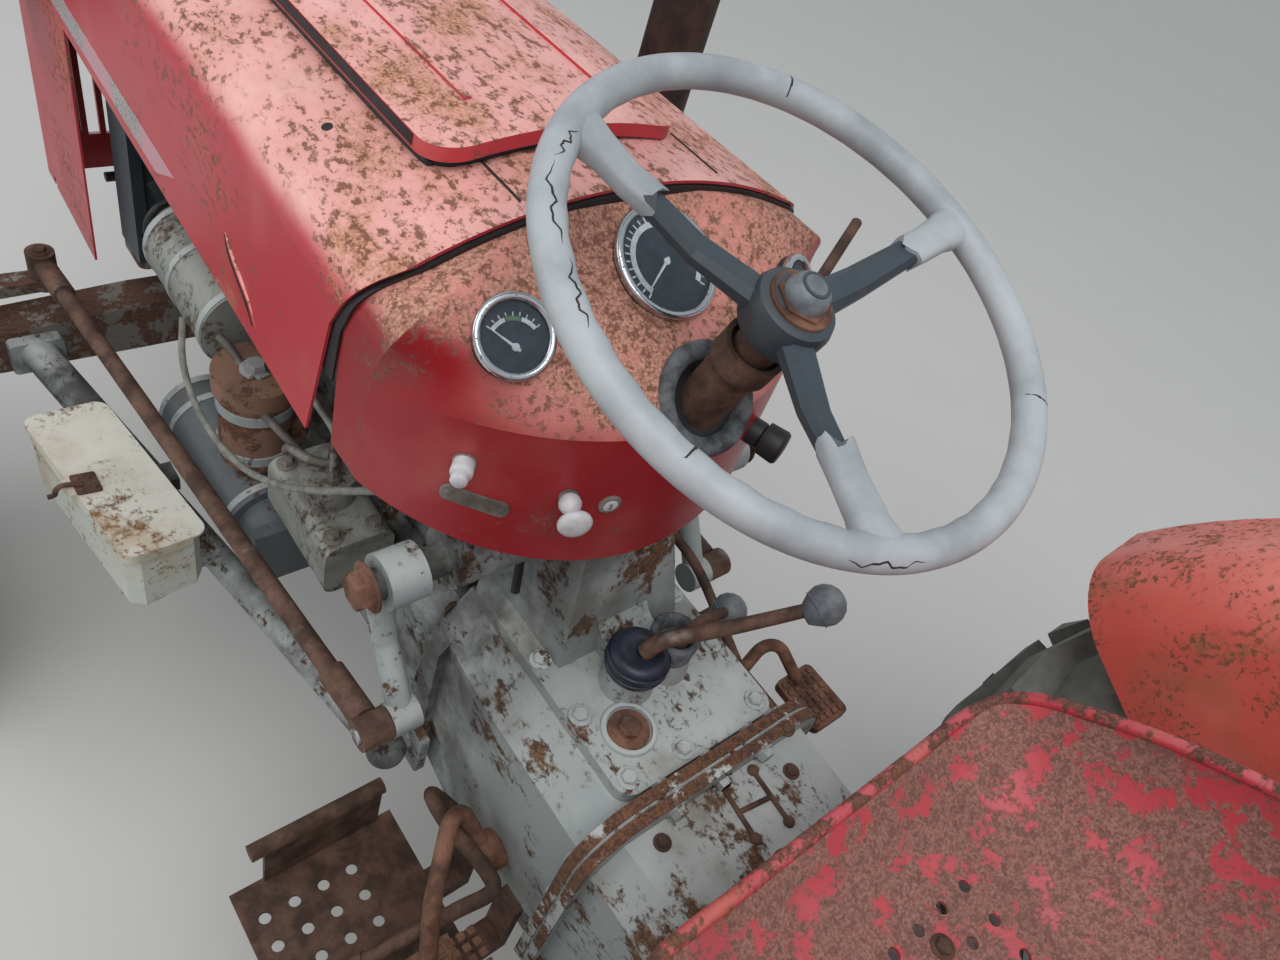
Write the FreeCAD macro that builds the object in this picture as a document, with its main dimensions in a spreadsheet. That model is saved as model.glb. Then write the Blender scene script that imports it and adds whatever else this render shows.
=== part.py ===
import FreeCAD, Part
import Sketcher
import math
import os
import re
from types import SimpleNamespace
from FreeCAD import Placement, Rotation, Vector

# A small farm tractor of the years about 1960, built as an assembly.
# Millimetres. X points to the tractor's left, Y to its rear and Z up.
# Every piece is drawn with the rear axle above Y = 0 and the ground at Z = 0,
# and its placement then moves it so that the origin lies at mid length.

SIZES = [
    # name, value, what it is
    ("wheelbase", 1830, "front axle to rear axle"),
    ("running_gap", 0.3, "radial gap of a shaft in its bore, and of a seat"),
    ("clear_gap", 6, "gap between pieces that pass each other"),
    ("sheet_wall", 3, "pressed steel sheet"),
    # wheels and tyres
    ("rear_track", 1220, "distance between the rear wheels' middle planes"),
    ("rear_tyre_radius", 617, "over the lugs"),
    ("rear_tyre_width", 284, "over the sidewalls"),
    ("lug_height", 34, "lug over the carcass"),
    ("lug_pairs", 20, "lugs on each side of a rear tyre"),
    ("lug_thickness", 34, "across a lug at its top"),
    ("lug_sweep", 15, "degrees that a lug runs back from the centre to the shoulder"),
    ("rear_seat_radius", 352, "rear rim where the tyre's bead sits"),
    ("rear_rim_width", 254, "rear rim between its flanges"),
    ("rim_wall", 7, "thickness of the rims"),
    ("rim_flange", 18, "height of a rim's flange over the seat"),
    ("rim_well", 26, "depth of a rim's well under the seat"),
    ("disc_wall", 9, "wheel disc"),
    ("rear_disc_dish", 70, "hub face inside the wheel's middle plane"),
    ("rear_hub_radius", 75, "hub of the rear wheel"),
    ("drum_radius", 178, "brake drum"),
    ("drum_width", 66, "brake drum along the axle"),
    ("rear_shaft_radius", 36, "rear axle shaft"),
    ("front_track", 1220, "distance between the front wheels' middle planes"),
    ("front_tyre_radius", 367, "over the ribs"),
    ("front_tyre_width", 165, "over the sidewalls"),
    ("front_seat_radius", 203, "front rim where the tyre's bead sits"),
    ("front_rim_width", 120, "front rim between its flanges"),
    ("front_disc_dish", 12, "front disc inside the wheel's middle plane"),
    ("front_hub_radius", 46, "hub of the front wheel"),
    ("front_hub_length", 118, "hub of the front wheel along the axle"),
    ("rib_height", 10, "tread ribs of a front tyre"),
    # front axle and steering
    ("kingpin_spread", 972, "distance between the kingpins"),
    ("kingpin_radius", 17, "kingpin"),
    ("kingpin_boss_radius", 33, "axle end around the kingpin"),
    ("boss_low", 432, "lower face of the axle's kingpin boss"),
    ("boss_high", 640, "upper face of the axle's kingpin boss"),
    ("stub_radius", 20, "stub axle"),
    ("beam_top", 606, "top of the axle beam at mid width"),
    ("beam_depth", 84, "height of the axle beam at mid width"),
    ("beam_width", 66, "axle beam along the tractor"),
    ("beam_tip_top", 590, "top of the axle beam at its ends"),
    ("beam_tip_depth", 64, "height of the axle beam at its ends"),
    ("pivot_radius", 19, "pin that the front axle rocks on"),
    ("steer_arm_length", 176, "kingpin to the link's ball"),
    ("steer_arm_wall", 18, "thickness of the steering arm"),
    ("steer_arm_width", 40, "width of the steering arm"),
    ("sector_ahead", 980, "cross shafts of the steering box ahead of the rear axle"),
    ("sector_height", 915, "cross shafts of the steering box over the ground"),
    ("sector_shaft_radius", 17, "cross shaft"),
    ("tower_rise", 40, "top of the steering box over its cross shafts"),
    ("drop_arm_side", 216, "middle of the drop arms beside the centre line"),
    ("drop_ball_ahead", 934, "ball of the drop arm ahead of the rear axle"),
    ("drop_ball_height", 720, "ball of the drop arm over the ground"),
    ("link_ball_radius", 9, "pin in the drag link's rear socket"),
    ("link_radius", 11, "drag link rod"),
    ("link_head_radius", 19, "sockets of the drag link"),
    ("radius_rod_radius", 19, "radius rods"),
    ("rod_rear_side", 190, "rear end of a radius rod beside the centre line"),
    ("rod_rear_ahead", 984, "rear end of a radius rod ahead of the rear axle"),
    ("rod_rear_height", 530, "rear end of a radius rod over the ground"),
    ("rod_front_side", 346, "front end of a radius rod beside the centre line"),
    ("rod_front_height", 565, "front end of a radius rod over the ground"),
    # steering wheel and column
    ("wheel_ahead", 840, "steering wheel's centre ahead of the rear axle"),
    ("wheel_height", 1310, "steering wheel's centre over the ground"),
    ("column_tilt", 17.5, "degrees that the column leans back from upright"),
    ("wheel_rim_radius", 206.5, "steering wheel to the middle of its rim"),
    ("wheel_grip_radius", 13.5, "steering wheel's rim section"),
    ("wheel_dish", 34, "hub under the plane of the rim"),
    ("wheel_hub_radius", 31, "steering wheel hub"),
    ("wheel_hub_height", 34, "steering wheel hub along the column"),
    ("spoke_turn", -23.5, "degrees that the first spoke is turned from straight back"),
    ("spoke_width", 27, "spoke at the hub"),
    ("column_radius", 23, "column tube"),
    ("steering_shaft_radius", 11, "shaft inside the column"),
    # engine and driveline
    ("engine_front", 1640, "front face of the engine ahead of the rear axle"),
    ("engine_rear", 1004, "rear face of the engine ahead of the rear axle"),
    ("engine_half_width", 138, "crankcase from its middle to one side"),
    ("sump_bottom", 455, "underside of the sump"),
    ("head_top", 965, "top of the cylinder head"),
    ("rocker_top", 1040, "top of the rocker cover"),
    ("bell_half_width", 150, "clutch housing flange from its middle to one side"),
    ("case_half_width", 128, "gearbox from its middle to one side"),
    ("case_top", 800, "top plate of the gearbox"),
    ("case_bottom", 445, "underside of the gearbox"),
    ("flange_ahead", 690, "bolted flange of gearbox and rear housing"),
    ("flange_wall", 26, "thickness of the bolted flange"),
    ("housing_half_width", 165, "rear housing from its middle to one side"),
    ("housing_top", 800, "top of the rear housing"),
    ("housing_rear", 165, "rear face of the housing behind the rear axle"),
    ("trumpet_radius", 112, "axle tube at the housing"),
    ("trumpet_tip_radius", 68, "axle tube at the brake"),
    ("trumpet_reach", 446, "end of the axle tube beside the centre line"),
    ("lift_top", 856, "top of the lift cover"),
    ("lift_shaft_behind", 62, "cross shaft of the lift behind the rear axle"),
    ("lift_shaft_height", 850, "cross shaft of the lift over the ground"),
    ("lift_shaft_radius", 25, "cross shaft of the lift"),
    ("pto_radius", 17.45, "power take-off shaft over its splines"),
    ("pto_length", 76, "power take-off shaft out of its housing"),
    ("pto_height", 560, "power take-off shaft over the ground"),
    # three-point hitch
    ("link_reach", 800, "ends of the lower links behind the rear axle"),
    ("link_front_side", 215, "front pins of the lower links beside the centre line"),
    ("link_front_behind", 20, "front pins of the lower links behind the rear axle"),
    ("link_front_height", 470, "front pins of the lower links over the ground"),
    ("link_end_side", 355, "rear balls of the lower links beside the centre line"),
    ("link_end_height", 430, "rear balls of the lower links over the ground"),
    ("link_ball_bore", 11.2, "bore of the lower links' balls"),
    ("link_bar_depth", 58, "height of a lower link's bar"),
    ("link_bar_wall", 16, "thickness of a lower link's bar"),
    ("top_link_bore", 9.6, "bore for the top link's pin"),
    ("lift_arm_reach", 250, "lift arm from its shaft to its end"),
    ("drawbar_bore", 13, "hole in the drawbar"),
    ("drawbar_height", 350, "drawbar over the ground"),
    ("drawbar_reach", 520, "end of the drawbar behind the rear axle"),
    # bonnet, nose and dash
    ("bonnet_rear", 1036, "rear edge of the bonnet's top ahead of the rear axle"),
    ("bonnet_skirt_rear", 1111, "rear tip of the bonnet's side ahead of the rear axle"),
    ("bonnet_top", 1274, "top of the bonnet at its rear edge"),
    ("bonnet_drop", 14, "fall of the bonnet's top from rear to front"),
    ("bonnet_skirt", 1003, "lower edge of the bonnet's sides"),
    ("bonnet_half_width", 257, "bonnet's side at its rear edge"),
    ("bonnet_taper", 34, "how much narrower each side is at the nose"),
    ("nose_lean", 14, "how far the nose's face leans back at its foot"),
    ("bonnet_rake_ahead", 1078, "bend in the bonnet's raked rear edge ahead of the rear axle"),
    ("bonnet_rake_height", 1153, "bend in the bonnet's raked rear edge over the ground"),
    ("bonnet_lean", 5, "how much narrower each side is at the shoulder than below"),
    ("bonnet_shoulder", 46, "radius of the bonnet's shoulders"),
    ("bonnet_crown", 520, "radius of the bonnet's top across its width"),
    ("strip_wall", 5, "rubber strip between the bonnet's edge and the dash"),
    ("nose_front", 2136, "front of the nose ahead of the rear axle"),
    ("nose_rear", 1872, "rear edge of the nose's sides ahead of the rear axle"),
    ("nose_bottom", 645, "lower edge of the nose"),
    ("nose_round", 170, "radius of the nose's top in side view"),
    ("nose_hinge_ahead", 2078, "hinge pin of the nose ahead of the rear axle"),
    ("nose_hinge_height", 652, "hinge pin of the nose over the ground"),
    ("nose_hinge_radius", 8, "hinge pin of the nose"),
    ("grille_half_width", 178, "grille opening from its middle to one side"),
    ("grille_low", 700, "lower edge of the grille opening"),
    ("grille_high", 1066, "upper edge of the grille opening"),
    ("grille_bar", 9, "width of a grille bar"),
    ("grille_pitch", 27, "grille bar to grille bar"),
    ("lamp_radius", 80, "headlamp bowl"),
    ("lid_left", 156, "left edge of the bonnet's lid beside the centre line"),
    ("lid_right", 106, "right edge of the lid, where it is hinged"),
    ("lid_rear", 1104, "rear edge of the lid ahead of the rear axle"),
    ("lid_front", 1730, "front edge of the lid ahead of the rear axle"),
    ("lid_rise", 13, "height of the lid's pressed top over the bonnet"),
    ("lid_ajar", 2.5, "degrees that the lid stands open"),
    ("tank_top", 1212, "top of the fuel tank"),
    ("tank_bottom", 1068, "underside of the fuel tank"),
    ("dash_top", 1262, "top of the dash at its front edge"),
    ("dash_bend_ahead", 872, "bend of the dash ahead of the rear axle at mid width"),
    ("dash_bend_height", 1140, "bend of the dash over the ground"),
    ("dash_front", 1070, "front edge of the dash under the bonnet ahead of the rear axle"),
    ("dash_foot_height", 974, "lower edge of the dash at mid width"),
    ("dash_side_foot", 1022, "lower edge of the dash at its sides"),
    ("dash_half_width", 247, "dash at its front edge"),
    ("dash_corner", 1022, "side corners of the dash's round rear face ahead of the rear axle"),
    ("gauge_radius", 51, "large gauge"),
    ("small_gauge_radius", 33, "small gauges"),
    # driver's place
    ("foot_height", 434, "top of the footplates"),
    ("foot_wall", 5, "thickness of the footplates"),
    ("foot_inner", 196, "inner edge of the footplates"),
    ("foot_outer", 402, "outer edge of the footplates"),
    ("foot_front", 945, "front edge of the footplates ahead of the rear axle"),
    ("foot_rear", 655, "rear edge of the footplates ahead of the rear axle"),
    ("seat_front", 572, "front edge of the seat ahead of the rear axle"),
    ("seat_rear", 140, "rear edge of the seat ahead of the rear axle"),
    ("seat_height", 915, "front edge of the seat over the ground"),
    ("seat_back_height", 1132, "top of the seat's back over the ground"),
    ("seat_half_width", 240, "seat from its middle to one side"),
    ("seat_sink", 30, "how far the seat's floor lies under its front edge"),
    ("guard_radius", 700, "outside of the mudguards over the tyres"),
    ("guard_inner", 458, "inner face of the mudguards beside the centre line"),
    ("guard_reach", 640, "outer edge of the mudguards beside the centre line"),
    ("guard_round", 92, "radius between a mudguard's side and its top"),
    # toolbox, exhaust and engine fittings
    ("toolbox_length", 256, "toolbox along the tractor"),
    ("toolbox_width", 92, "toolbox across the tractor"),
    ("toolbox_height", 92, "toolbox without its lid"),
    ("toolbox_side", 352, "middle of the toolbox beside the centre line"),
    ("toolbox_ahead", 1409, "middle of the toolbox ahead of the rear axle"),
    ("toolbox_bottom", 576, "underside of the toolbox"),
    ("toolbox_turn", 8, "degrees that the toolbox follows the radius rod"),
    ("box_wall", 3, "toolbox sheet"),
    ("box_lid_rise", 6, "height of the toolbox lid over its rim"),
    ("box_lid_ajar", 7, "degrees that the toolbox lid stands open"),
    ("exhaust_side", 327, "exhaust pipe beside the centre line, to the right"),
    ("exhaust_ahead", 1365, "exhaust pipe ahead of the rear axle"),
    ("exhaust_radius", 38, "exhaust silencer"),
    ("exhaust_pipe_radius", 24, "exhaust pipe"),
    ("exhaust_top", 1790, "top of the exhaust pipe"),
    ("starter_radius", 56, "starter motor"),
    ("starter_side", 198, "starter motor beside the centre line"),
    ("starter_height", 624, "starter motor over the ground"),
    ("filter_radius", 45, "oil filter"),
    ("dynamo_radius", 58, "dynamo"),
    ("fan_radius", 188, "fan"),
    ("fan_ahead", 1716, "fan ahead of the rear axle"),
    ("fan_height", 900, "fan over the ground"),
    ("fan_shaft_radius", 11, "fan shaft"),
    ("radiator_half_width", 196, "radiator from its middle to one side"),
    ("radiator_front", 1842, "front of the radiator ahead of the rear axle"),
    ("radiator_rear", 1768, "rear of the radiator ahead of the rear axle"),
    ("radiator_top", 1136, "top of the radiator"),
    ("radiator_bottom", 706, "underside of the radiator"),
    ("hose_radius", 25, "radiator hose"),
    ("hose_side", 80, "radiator hose beside the centre line"),
    ("cable_radius", 4, "engine cable"),
]

doc = FreeCAD.newDocument("FarmTractor")
sheet = doc.addObject("Spreadsheet::Sheet", "Sizes")
for row, (alias, value, meaning) in enumerate(SIZES, start=1):
    sheet.set(f"A{row}", meaning)
    sheet.set(f"B{row}", str(value))
    sheet.setAlias(f"B{row}", alias)
doc.recompute()

S = SimpleNamespace(**{alias: float(sheet.get(alias)) for alias, _, _ in SIZES})
ALIASES = {alias for alias, _, _ in SIZES}
AXLE_SHIFT = "(wheelbase + front_tyre_radius - link_reach) / 2"
axle_shift = (S.wheelbase + S.front_tyre_radius - S.link_reach) / 2
PARTS = []

X_AXIS = Vector(1, 0, 0)
Y_AXIS = Vector(0, 1, 0)
Z_AXIS = Vector(0, 0, 1)
AXLE_TO_LEFT = Rotation(Y_AXIS, 90)
AXLE_TO_RIGHT = Rotation(Y_AXIS, -90)
SIDES = (("left", 1), ("right", -1))


# Helpers for pieces bound to the sheet

def bind(target, path, text):
    """Ties a property to an expression in the sheet's words."""
    words = re.split(r"(\w+)", text)
    named = [f"Sizes.{word}" if word in ALIASES else word for word in words]
    target.setExpression(path, "".join(named))


def place(piece, across="0", behind="0", above="0", turn=None):
    """Sets a piece's placement in the tractor, with Y counted from the rear axle."""
    piece.Placement = Placement(Vector(0, 0, 0), turn or Rotation())
    bind(piece, ".Placement.Base.x", across)
    bind(piece, ".Placement.Base.y", f"{behind} + {AXLE_SHIFT}")
    bind(piece, ".Placement.Base.z", above)
    return piece


def new_body(label):
    body = doc.addObject("PartDesign::Body", label)
    body.Label = label
    PARTS.append(body)
    return body


def origin_plane(body, role):
    return next(plane for plane in body.Origin.OriginFeatures if plane.Role == role)


def outline(body, plane, corners, name):
    """Closed outline of straight lines, each corner tied to two expressions."""
    sketch = body.newObject("Sketcher::SketchObject", f"{body.Name}_{name}")
    sketch.AttachmentSupport = [(origin_plane(body, plane), "")]
    sketch.MapMode = "FlatFace"
    count = len(corners)
    spread = 100
    start = [Vector(spread * math.cos(2 * math.pi * k / count) + 3 * spread,
                    spread * math.sin(2 * math.pi * k / count), 0) for k in range(count)]
    sketch.addGeometry([Part.LineSegment(start[k], start[(k + 1) % count]) for k in range(count)], False)
    sketch.addConstraint([Sketcher.Constraint("Coincident", k, 2, (k + 1) % count, 1) for k in range(count)])
    for k, (first, second) in enumerate(corners):
        index = sketch.addConstraint(Sketcher.Constraint("DistanceX", k, 1, start[k].x))
        bind(sketch, f"Constraints[{index}]", first)
        index = sketch.addConstraint(Sketcher.Constraint("DistanceY", k, 1, start[k].y))
        bind(sketch, f"Constraints[{index}]", second)
    return sketch


def circle(body, plane, radius, name, first="0", second="0"):
    """One circle in a sketch, its radius and centre tied to expressions."""
    sketch = body.newObject("Sketcher::SketchObject", f"{body.Name}_{name}")
    sketch.AttachmentSupport = [(origin_plane(body, plane), "")]
    sketch.MapMode = "FlatFace"
    sketch.addGeometry(Part.Circle(Vector(5, 5, 0), Z_AXIS, 10), False)
    for kind, text in (("DistanceX", first), ("DistanceY", second)):
        index = sketch.addConstraint(Sketcher.Constraint(kind, 0, 3, 5))
        bind(sketch, f"Constraints[{index}]", text)
    index = sketch.addConstraint(Sketcher.Constraint("Radius", 0, 10))
    bind(sketch, f"Constraints[{index}]", radius)
    return sketch


def turn_profile(body, corners, name):
    """Revolves an outline of (radius, height) corners about the body's Z axis."""
    sketch = outline(body, "XZ_Plane", corners, name)
    turned = body.newObject("PartDesign::Revolution", f"{body.Name}_{name}_turned")
    turned.Profile = sketch
    turned.ReferenceAxis = (sketch, ["V_Axis"])
    turned.Angle = 360
    return turned


def pad(body, sketch, length, name, symmetric=True):
    feature = body.newObject("PartDesign::Pad", f"{body.Name}_{name}_pad")
    feature.Profile = sketch
    if symmetric:
        feature.SideType = "Symmetric"
    bind(feature, "Length", length)
    return feature


def pocket(body, sketch, length, name, symmetric=True):
    feature = body.newObject("PartDesign::Pocket", f"{body.Name}_{name}_pocket")
    feature.Profile = sketch
    if symmetric:
        feature.SideType = "Symmetric"
    bind(feature, "Length", length)
    return feature


# Helpers for pieces whose form comes from their own code

def feature(label, shape):
    """Stores a shape drawn in the rear axle's frame as a sub-part."""
    piece = doc.addObject("Part::Feature", label)
    piece.Label = label
    piece.Shape = shape
    piece.Placement = Placement(Vector(0, axle_shift, 0), Rotation()) * shape.Placement
    PARTS.append(piece)
    return piece


def fuse(solids):
    joined = solids[0].multiFuse(solids[1:]) if len(solids) > 1 else solids[0]
    return joined.removeSplitter()


def both_sides(solid):
    """The left-hand solid and its mirror image on the right."""
    return Part.makeCompound([solid, mirrored(solid)])


def mirrored(solid):
    return solid.mirror(Vector(0, 0, 0), X_AXIS)


def rod(start, end, radius):
    along = end.sub(start)
    return Part.makeCylinder(radius, along.Length, start, along)


def cross_rod(radius, low, high, behind, above):
    """Round bar across the tractor, from X = low to X = high."""
    return Part.makeCylinder(radius, high - low, Vector(low, behind, above), X_AXIS)


def box(low, high):
    return Part.makeBox(high[0] - low[0], high[1] - low[1], high[2] - low[2], Vector(*low))


def rounded_box(low, high, radius, along):
    """Box whose edges parallel to one axis are rounded."""
    solid = box(low, high)
    edges = [edge for edge in solid.Edges
             if abs(edge.tangentAt(edge.FirstParameter).dot(along)) > 0.9]
    return solid.makeFillet(radius, edges)


def polygon(points):
    return Part.makePolygon(points + points[:1])


def side_plate(points, low, high):
    """Plate seen from the side: (behind, above) corners, from X = low to X = high."""
    face = Part.Face(polygon([Vector(low, y, z) for y, z in points]))
    return face.extrude(Vector(high - low, 0, 0))


def front_plate(points, low, high):
    """Plate seen from the front: (across, above) corners, from Y = low to Y = high."""
    face = Part.Face(polygon([Vector(x, low, z) for x, z in points]))
    return face.extrude(Vector(0, high - low, 0))


def floor_plate(points, low, high):
    """Plate seen from above: (across, behind) corners, from Z = low to Z = high."""
    face = Part.Face(polygon([Vector(x, y, low) for x, y in points]))
    return face.extrude(Vector(0, 0, high - low))


def bent_path(points, bend):
    """Straight runs joined by tangent arcs of one radius."""
    edges = []
    start = points[0]
    for before, corner, after in zip(points, points[1:], points[2:]):
        arriving = corner.sub(before).normalize()
        leaving = after.sub(corner).normalize()
        turn = arriving.getAngle(leaving)
        setback = bend * math.tan(turn / 2)
        enter = corner - arriving * setback
        leave = corner + leaving * setback
        inward = (leaving - arriving).normalize()
        middle = corner + inward * (bend / math.cos(turn / 2) - bend)
        edges.append(Part.LineSegment(start, enter).toShape())
        edges.append(Part.Arc(enter, middle, leave).toShape())
        start = leave
    edges.append(Part.LineSegment(start, points[-1]).toShape())
    return Part.Wire(edges)


def bent_rod(points, bend, radius):
    """Round bar or tube along a bent path."""
    path = bent_path(points, bend)
    ring = Part.Wire(Part.makeCircle(radius, points[0], points[1].sub(points[0])))
    return path.makePipeShell([ring], True, False)


def ball(centre, radius):
    return Part.makeSphere(radius, centre)


# Wheels and tyres. Each is turned about its own Z, which points away from the tractor.

def rim_corners(seat, width, dish, hub):
    """Section of a drop-centre rim with its disc in one piece."""
    half = f"{width} / 2"
    return [
        (f"{seat} + rim_flange", f"-({half}) - rim_wall"),
        (f"{seat} + rim_flange", f"-({half})"),
        (seat, f"-({half})"),
        (seat, f"-({half}) + rim_well"),
        (f"{seat} - rim_well", f"-({half}) + 2 * rim_well"),
        (f"{seat} - rim_well", f"{half} - 2 * rim_well"),
        (seat, f"{half} - rim_well"),
        (seat, half),
        (f"{seat} + rim_flange", half),
        (f"{seat} + rim_flange", f"{half} + rim_wall"),
        (f"{seat} - rim_wall", f"{half} + rim_wall"),
        (f"{seat} - rim_wall", f"{half} - rim_well"),
        (f"{seat} - rim_well - rim_wall", f"{half} - 2 * rim_well"),
        (f"{seat} - rim_well - rim_wall", "disc_wall / 2"),
        (f"{seat} * 0.72", "disc_wall / 2"),
        (f"{seat} * 0.55", f"disc_wall / 2 - {dish}"),
        (hub, f"disc_wall / 2 - {dish}"),
        (hub, f"-disc_wall / 2 - {dish}"),
        (f"{seat} * 0.56", f"-disc_wall / 2 - {dish}"),
        (f"{seat} * 0.73", "-disc_wall / 2"),
        (f"{seat} - rim_well - rim_wall", "-disc_wall / 2"),
        (f"{seat} - rim_well - rim_wall", f"-({half}) + 2 * rim_well"),
        (f"{seat} - rim_wall", f"-({half}) + rim_well"),
        (f"{seat} - rim_wall", f"-({half}) - rim_wall"),
    ]


def rear_wheel(side, sign):
    body = new_body(f"rear_wheel_{side}")
    turn_profile(body, rim_corners("rear_seat_radius", "rear_rim_width", "rear_disc_dish",
                                   "rear_hub_radius - 2"), "rim")
    inner = "trumpet_reach + clear_gap - rear_track / 2"
    turn_profile(body, [
        ("rear_shaft_radius + running_gap", inner),
        ("drum_radius", inner),
        ("drum_radius", f"{inner} + drum_width"),
        ("rear_hub_radius + 18", f"{inner} + drum_width + 8"),
        ("rear_hub_radius", "-rear_disc_dish - disc_wall / 2"),
        ("rear_hub_radius", "-rear_disc_dish + 26"),
        ("rear_hub_radius - 24", "-rear_disc_dish + 52"),
        ("0", "-rear_disc_dish + 52"),
        ("0", f"{inner} + drum_width"),
        ("rear_shaft_radius + running_gap", f"{inner} + drum_width"),
    ], "hub")
    turn = AXLE_TO_LEFT if sign > 0 else AXLE_TO_RIGHT
    return place(body, f"{sign} * rear_track / 2", "0", "rear_tyre_radius", turn)


def front_wheel(side, sign):
    body = new_body(f"front_wheel_{side}")
    turn_profile(body, rim_corners("front_seat_radius", "front_rim_width", "front_disc_dish",
                                   "front_hub_radius - 2"), "rim")
    outer = "front_hub_length / 2"
    turn_profile(body, [
        ("stub_radius + running_gap", f"-({outer})"),
        ("front_hub_radius + 8", f"-({outer})"),
        ("front_hub_radius + 8", f"-({outer}) + 20"),
        ("front_hub_radius", f"-({outer}) + 26"),
        ("front_hub_radius", f"{outer} - 20"),
        ("front_hub_radius - 10", outer),
        ("0", outer),
        ("0", f"{outer} - 12"),
        ("stub_radius + running_gap", f"{outer} - 12"),
    ], "hub")
    turn = AXLE_TO_LEFT if sign > 0 else AXLE_TO_RIGHT
    return place(body, f"{sign} * front_track / 2", "-wheelbase", "front_tyre_radius", turn)


def front_tyre(side, sign):
    """Ribbed tyre: a middle rib and two side ribs."""
    body = new_body(f"front_tyre_{side}")
    seat = "front_seat_radius + running_gap"
    half_rim = "front_rim_width / 2 - running_gap"
    over_flange = "front_seat_radius + rim_flange + 4"
    half = "front_tyre_width / 2"
    top = "front_tyre_radius"
    groove = "front_tyre_radius - rib_height"
    right_half = [
        (f"{groove}", "12"),
        (f"{groove} + 1", "24"),
        (f"{top} - 4", "27"),
        (f"{top} - 12", f"{half} - 24"),
        (f"{top} - 36", f"{half} - 6"),
        ("front_tyre_radius / 2 + front_seat_radius / 2", half),
        (over_flange, f"{half} - 14"),
        (over_flange, half_rim),
        (seat, half_rim),
    ]
    left_half = [(radius, f"-({width})") for radius, width in reversed(right_half)]
    turn_profile(body, [(top, "9")] + right_half + left_half + [(top, "-9")], "section")
    turn = AXLE_TO_LEFT if sign > 0 else AXLE_TO_RIGHT
    return place(body, f"{sign} * front_track / 2", "-wheelbase", "front_tyre_radius", turn)


def lug(side_of_tread, angle):
    """One tread bar, from just past the centre line to the shoulder, as a ruled loft."""
    tread = S.rear_tyre_radius - S.lug_height
    half = S.rear_tyre_width / 2
    stations = [
        # width, share of the sweep, half thickness, foot radius, top radius
        (-6, 0.0, S.lug_thickness / 2 - 2, tread - 20, S.rear_tyre_radius),
        (half * 0.66, 0.72, S.lug_thickness / 2, tread - 24, S.rear_tyre_radius - 4),
        (half, 1.0, S.lug_thickness / 2 + 3, tread - 66, S.rear_tyre_radius - 22),
    ]
    sections = []
    for width, share, thick, foot, top in stations:
        middle = math.radians(angle + S.lug_sweep * share)
        corners = []
        for radius, shift, spread in ((foot, -1, 6), (foot, 1, 6), (top, 1, 0), (top, -1, 0)):
            turn = middle + shift * (thick + spread) / radius
            corners.append(Vector(radius * math.cos(turn), radius * math.sin(turn), side_of_tread * width))
        sections.append(Part.Wire(polygon(corners)))
    return Part.makeLoft(sections, True, True)


def rear_tyre(side, sign):
    """Drive tyre: turned carcass with lugs in two rows, half a pitch apart."""
    tread = S.rear_tyre_radius - S.lug_height
    half = S.rear_tyre_width / 2
    seat = S.rear_seat_radius + S.running_gap
    half_rim = S.rear_rim_width / 2 - S.running_gap
    over_flange = S.rear_seat_radius + S.rim_flange + 4
    right_half = [
        (tread, half * 0.55),
        (tread - 30, half * 0.93),
        (tread - 95, half),
        (over_flange + 36, half),
        (over_flange, half - 12),
        (over_flange, half_rim),
        (seat, half_rim),
    ]
    left_half = [(radius, -width) for radius, width in reversed(right_half)]
    section = [Vector(radius, 0, width) for radius, width in right_half + left_half]
    carcass = Part.Face(polygon(section)).revolve(Vector(0, 0, 0), Z_AXIS, 360)
    pitch = 360 / S.lug_pairs
    lugs = []
    for k in range(int(S.lug_pairs)):
        lugs.append(lug(1, k * pitch))
        lugs.append(lug(-1, (k + 0.5) * pitch))
    shape = carcass.multiFuse(lugs)
    piece = doc.addObject("Part::Feature", f"rear_tyre_{side}")
    piece.Label = f"rear_tyre_{side}"
    # The V of the lugs points forward at the top on both sides, so the right tyre is turned over.
    turn = AXLE_TO_LEFT if sign > 0 else AXLE_TO_RIGHT
    if sign < 0:
        shape = shape.mirror(Vector(0, 0, 0), Y_AXIS)
    piece.Shape = shape
    piece.Placement = Placement(Vector(sign * S.rear_track / 2, axle_shift, S.rear_tyre_radius), turn)
    PARTS.append(piece)
    return piece


# Front axle, knuckles and steering

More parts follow.
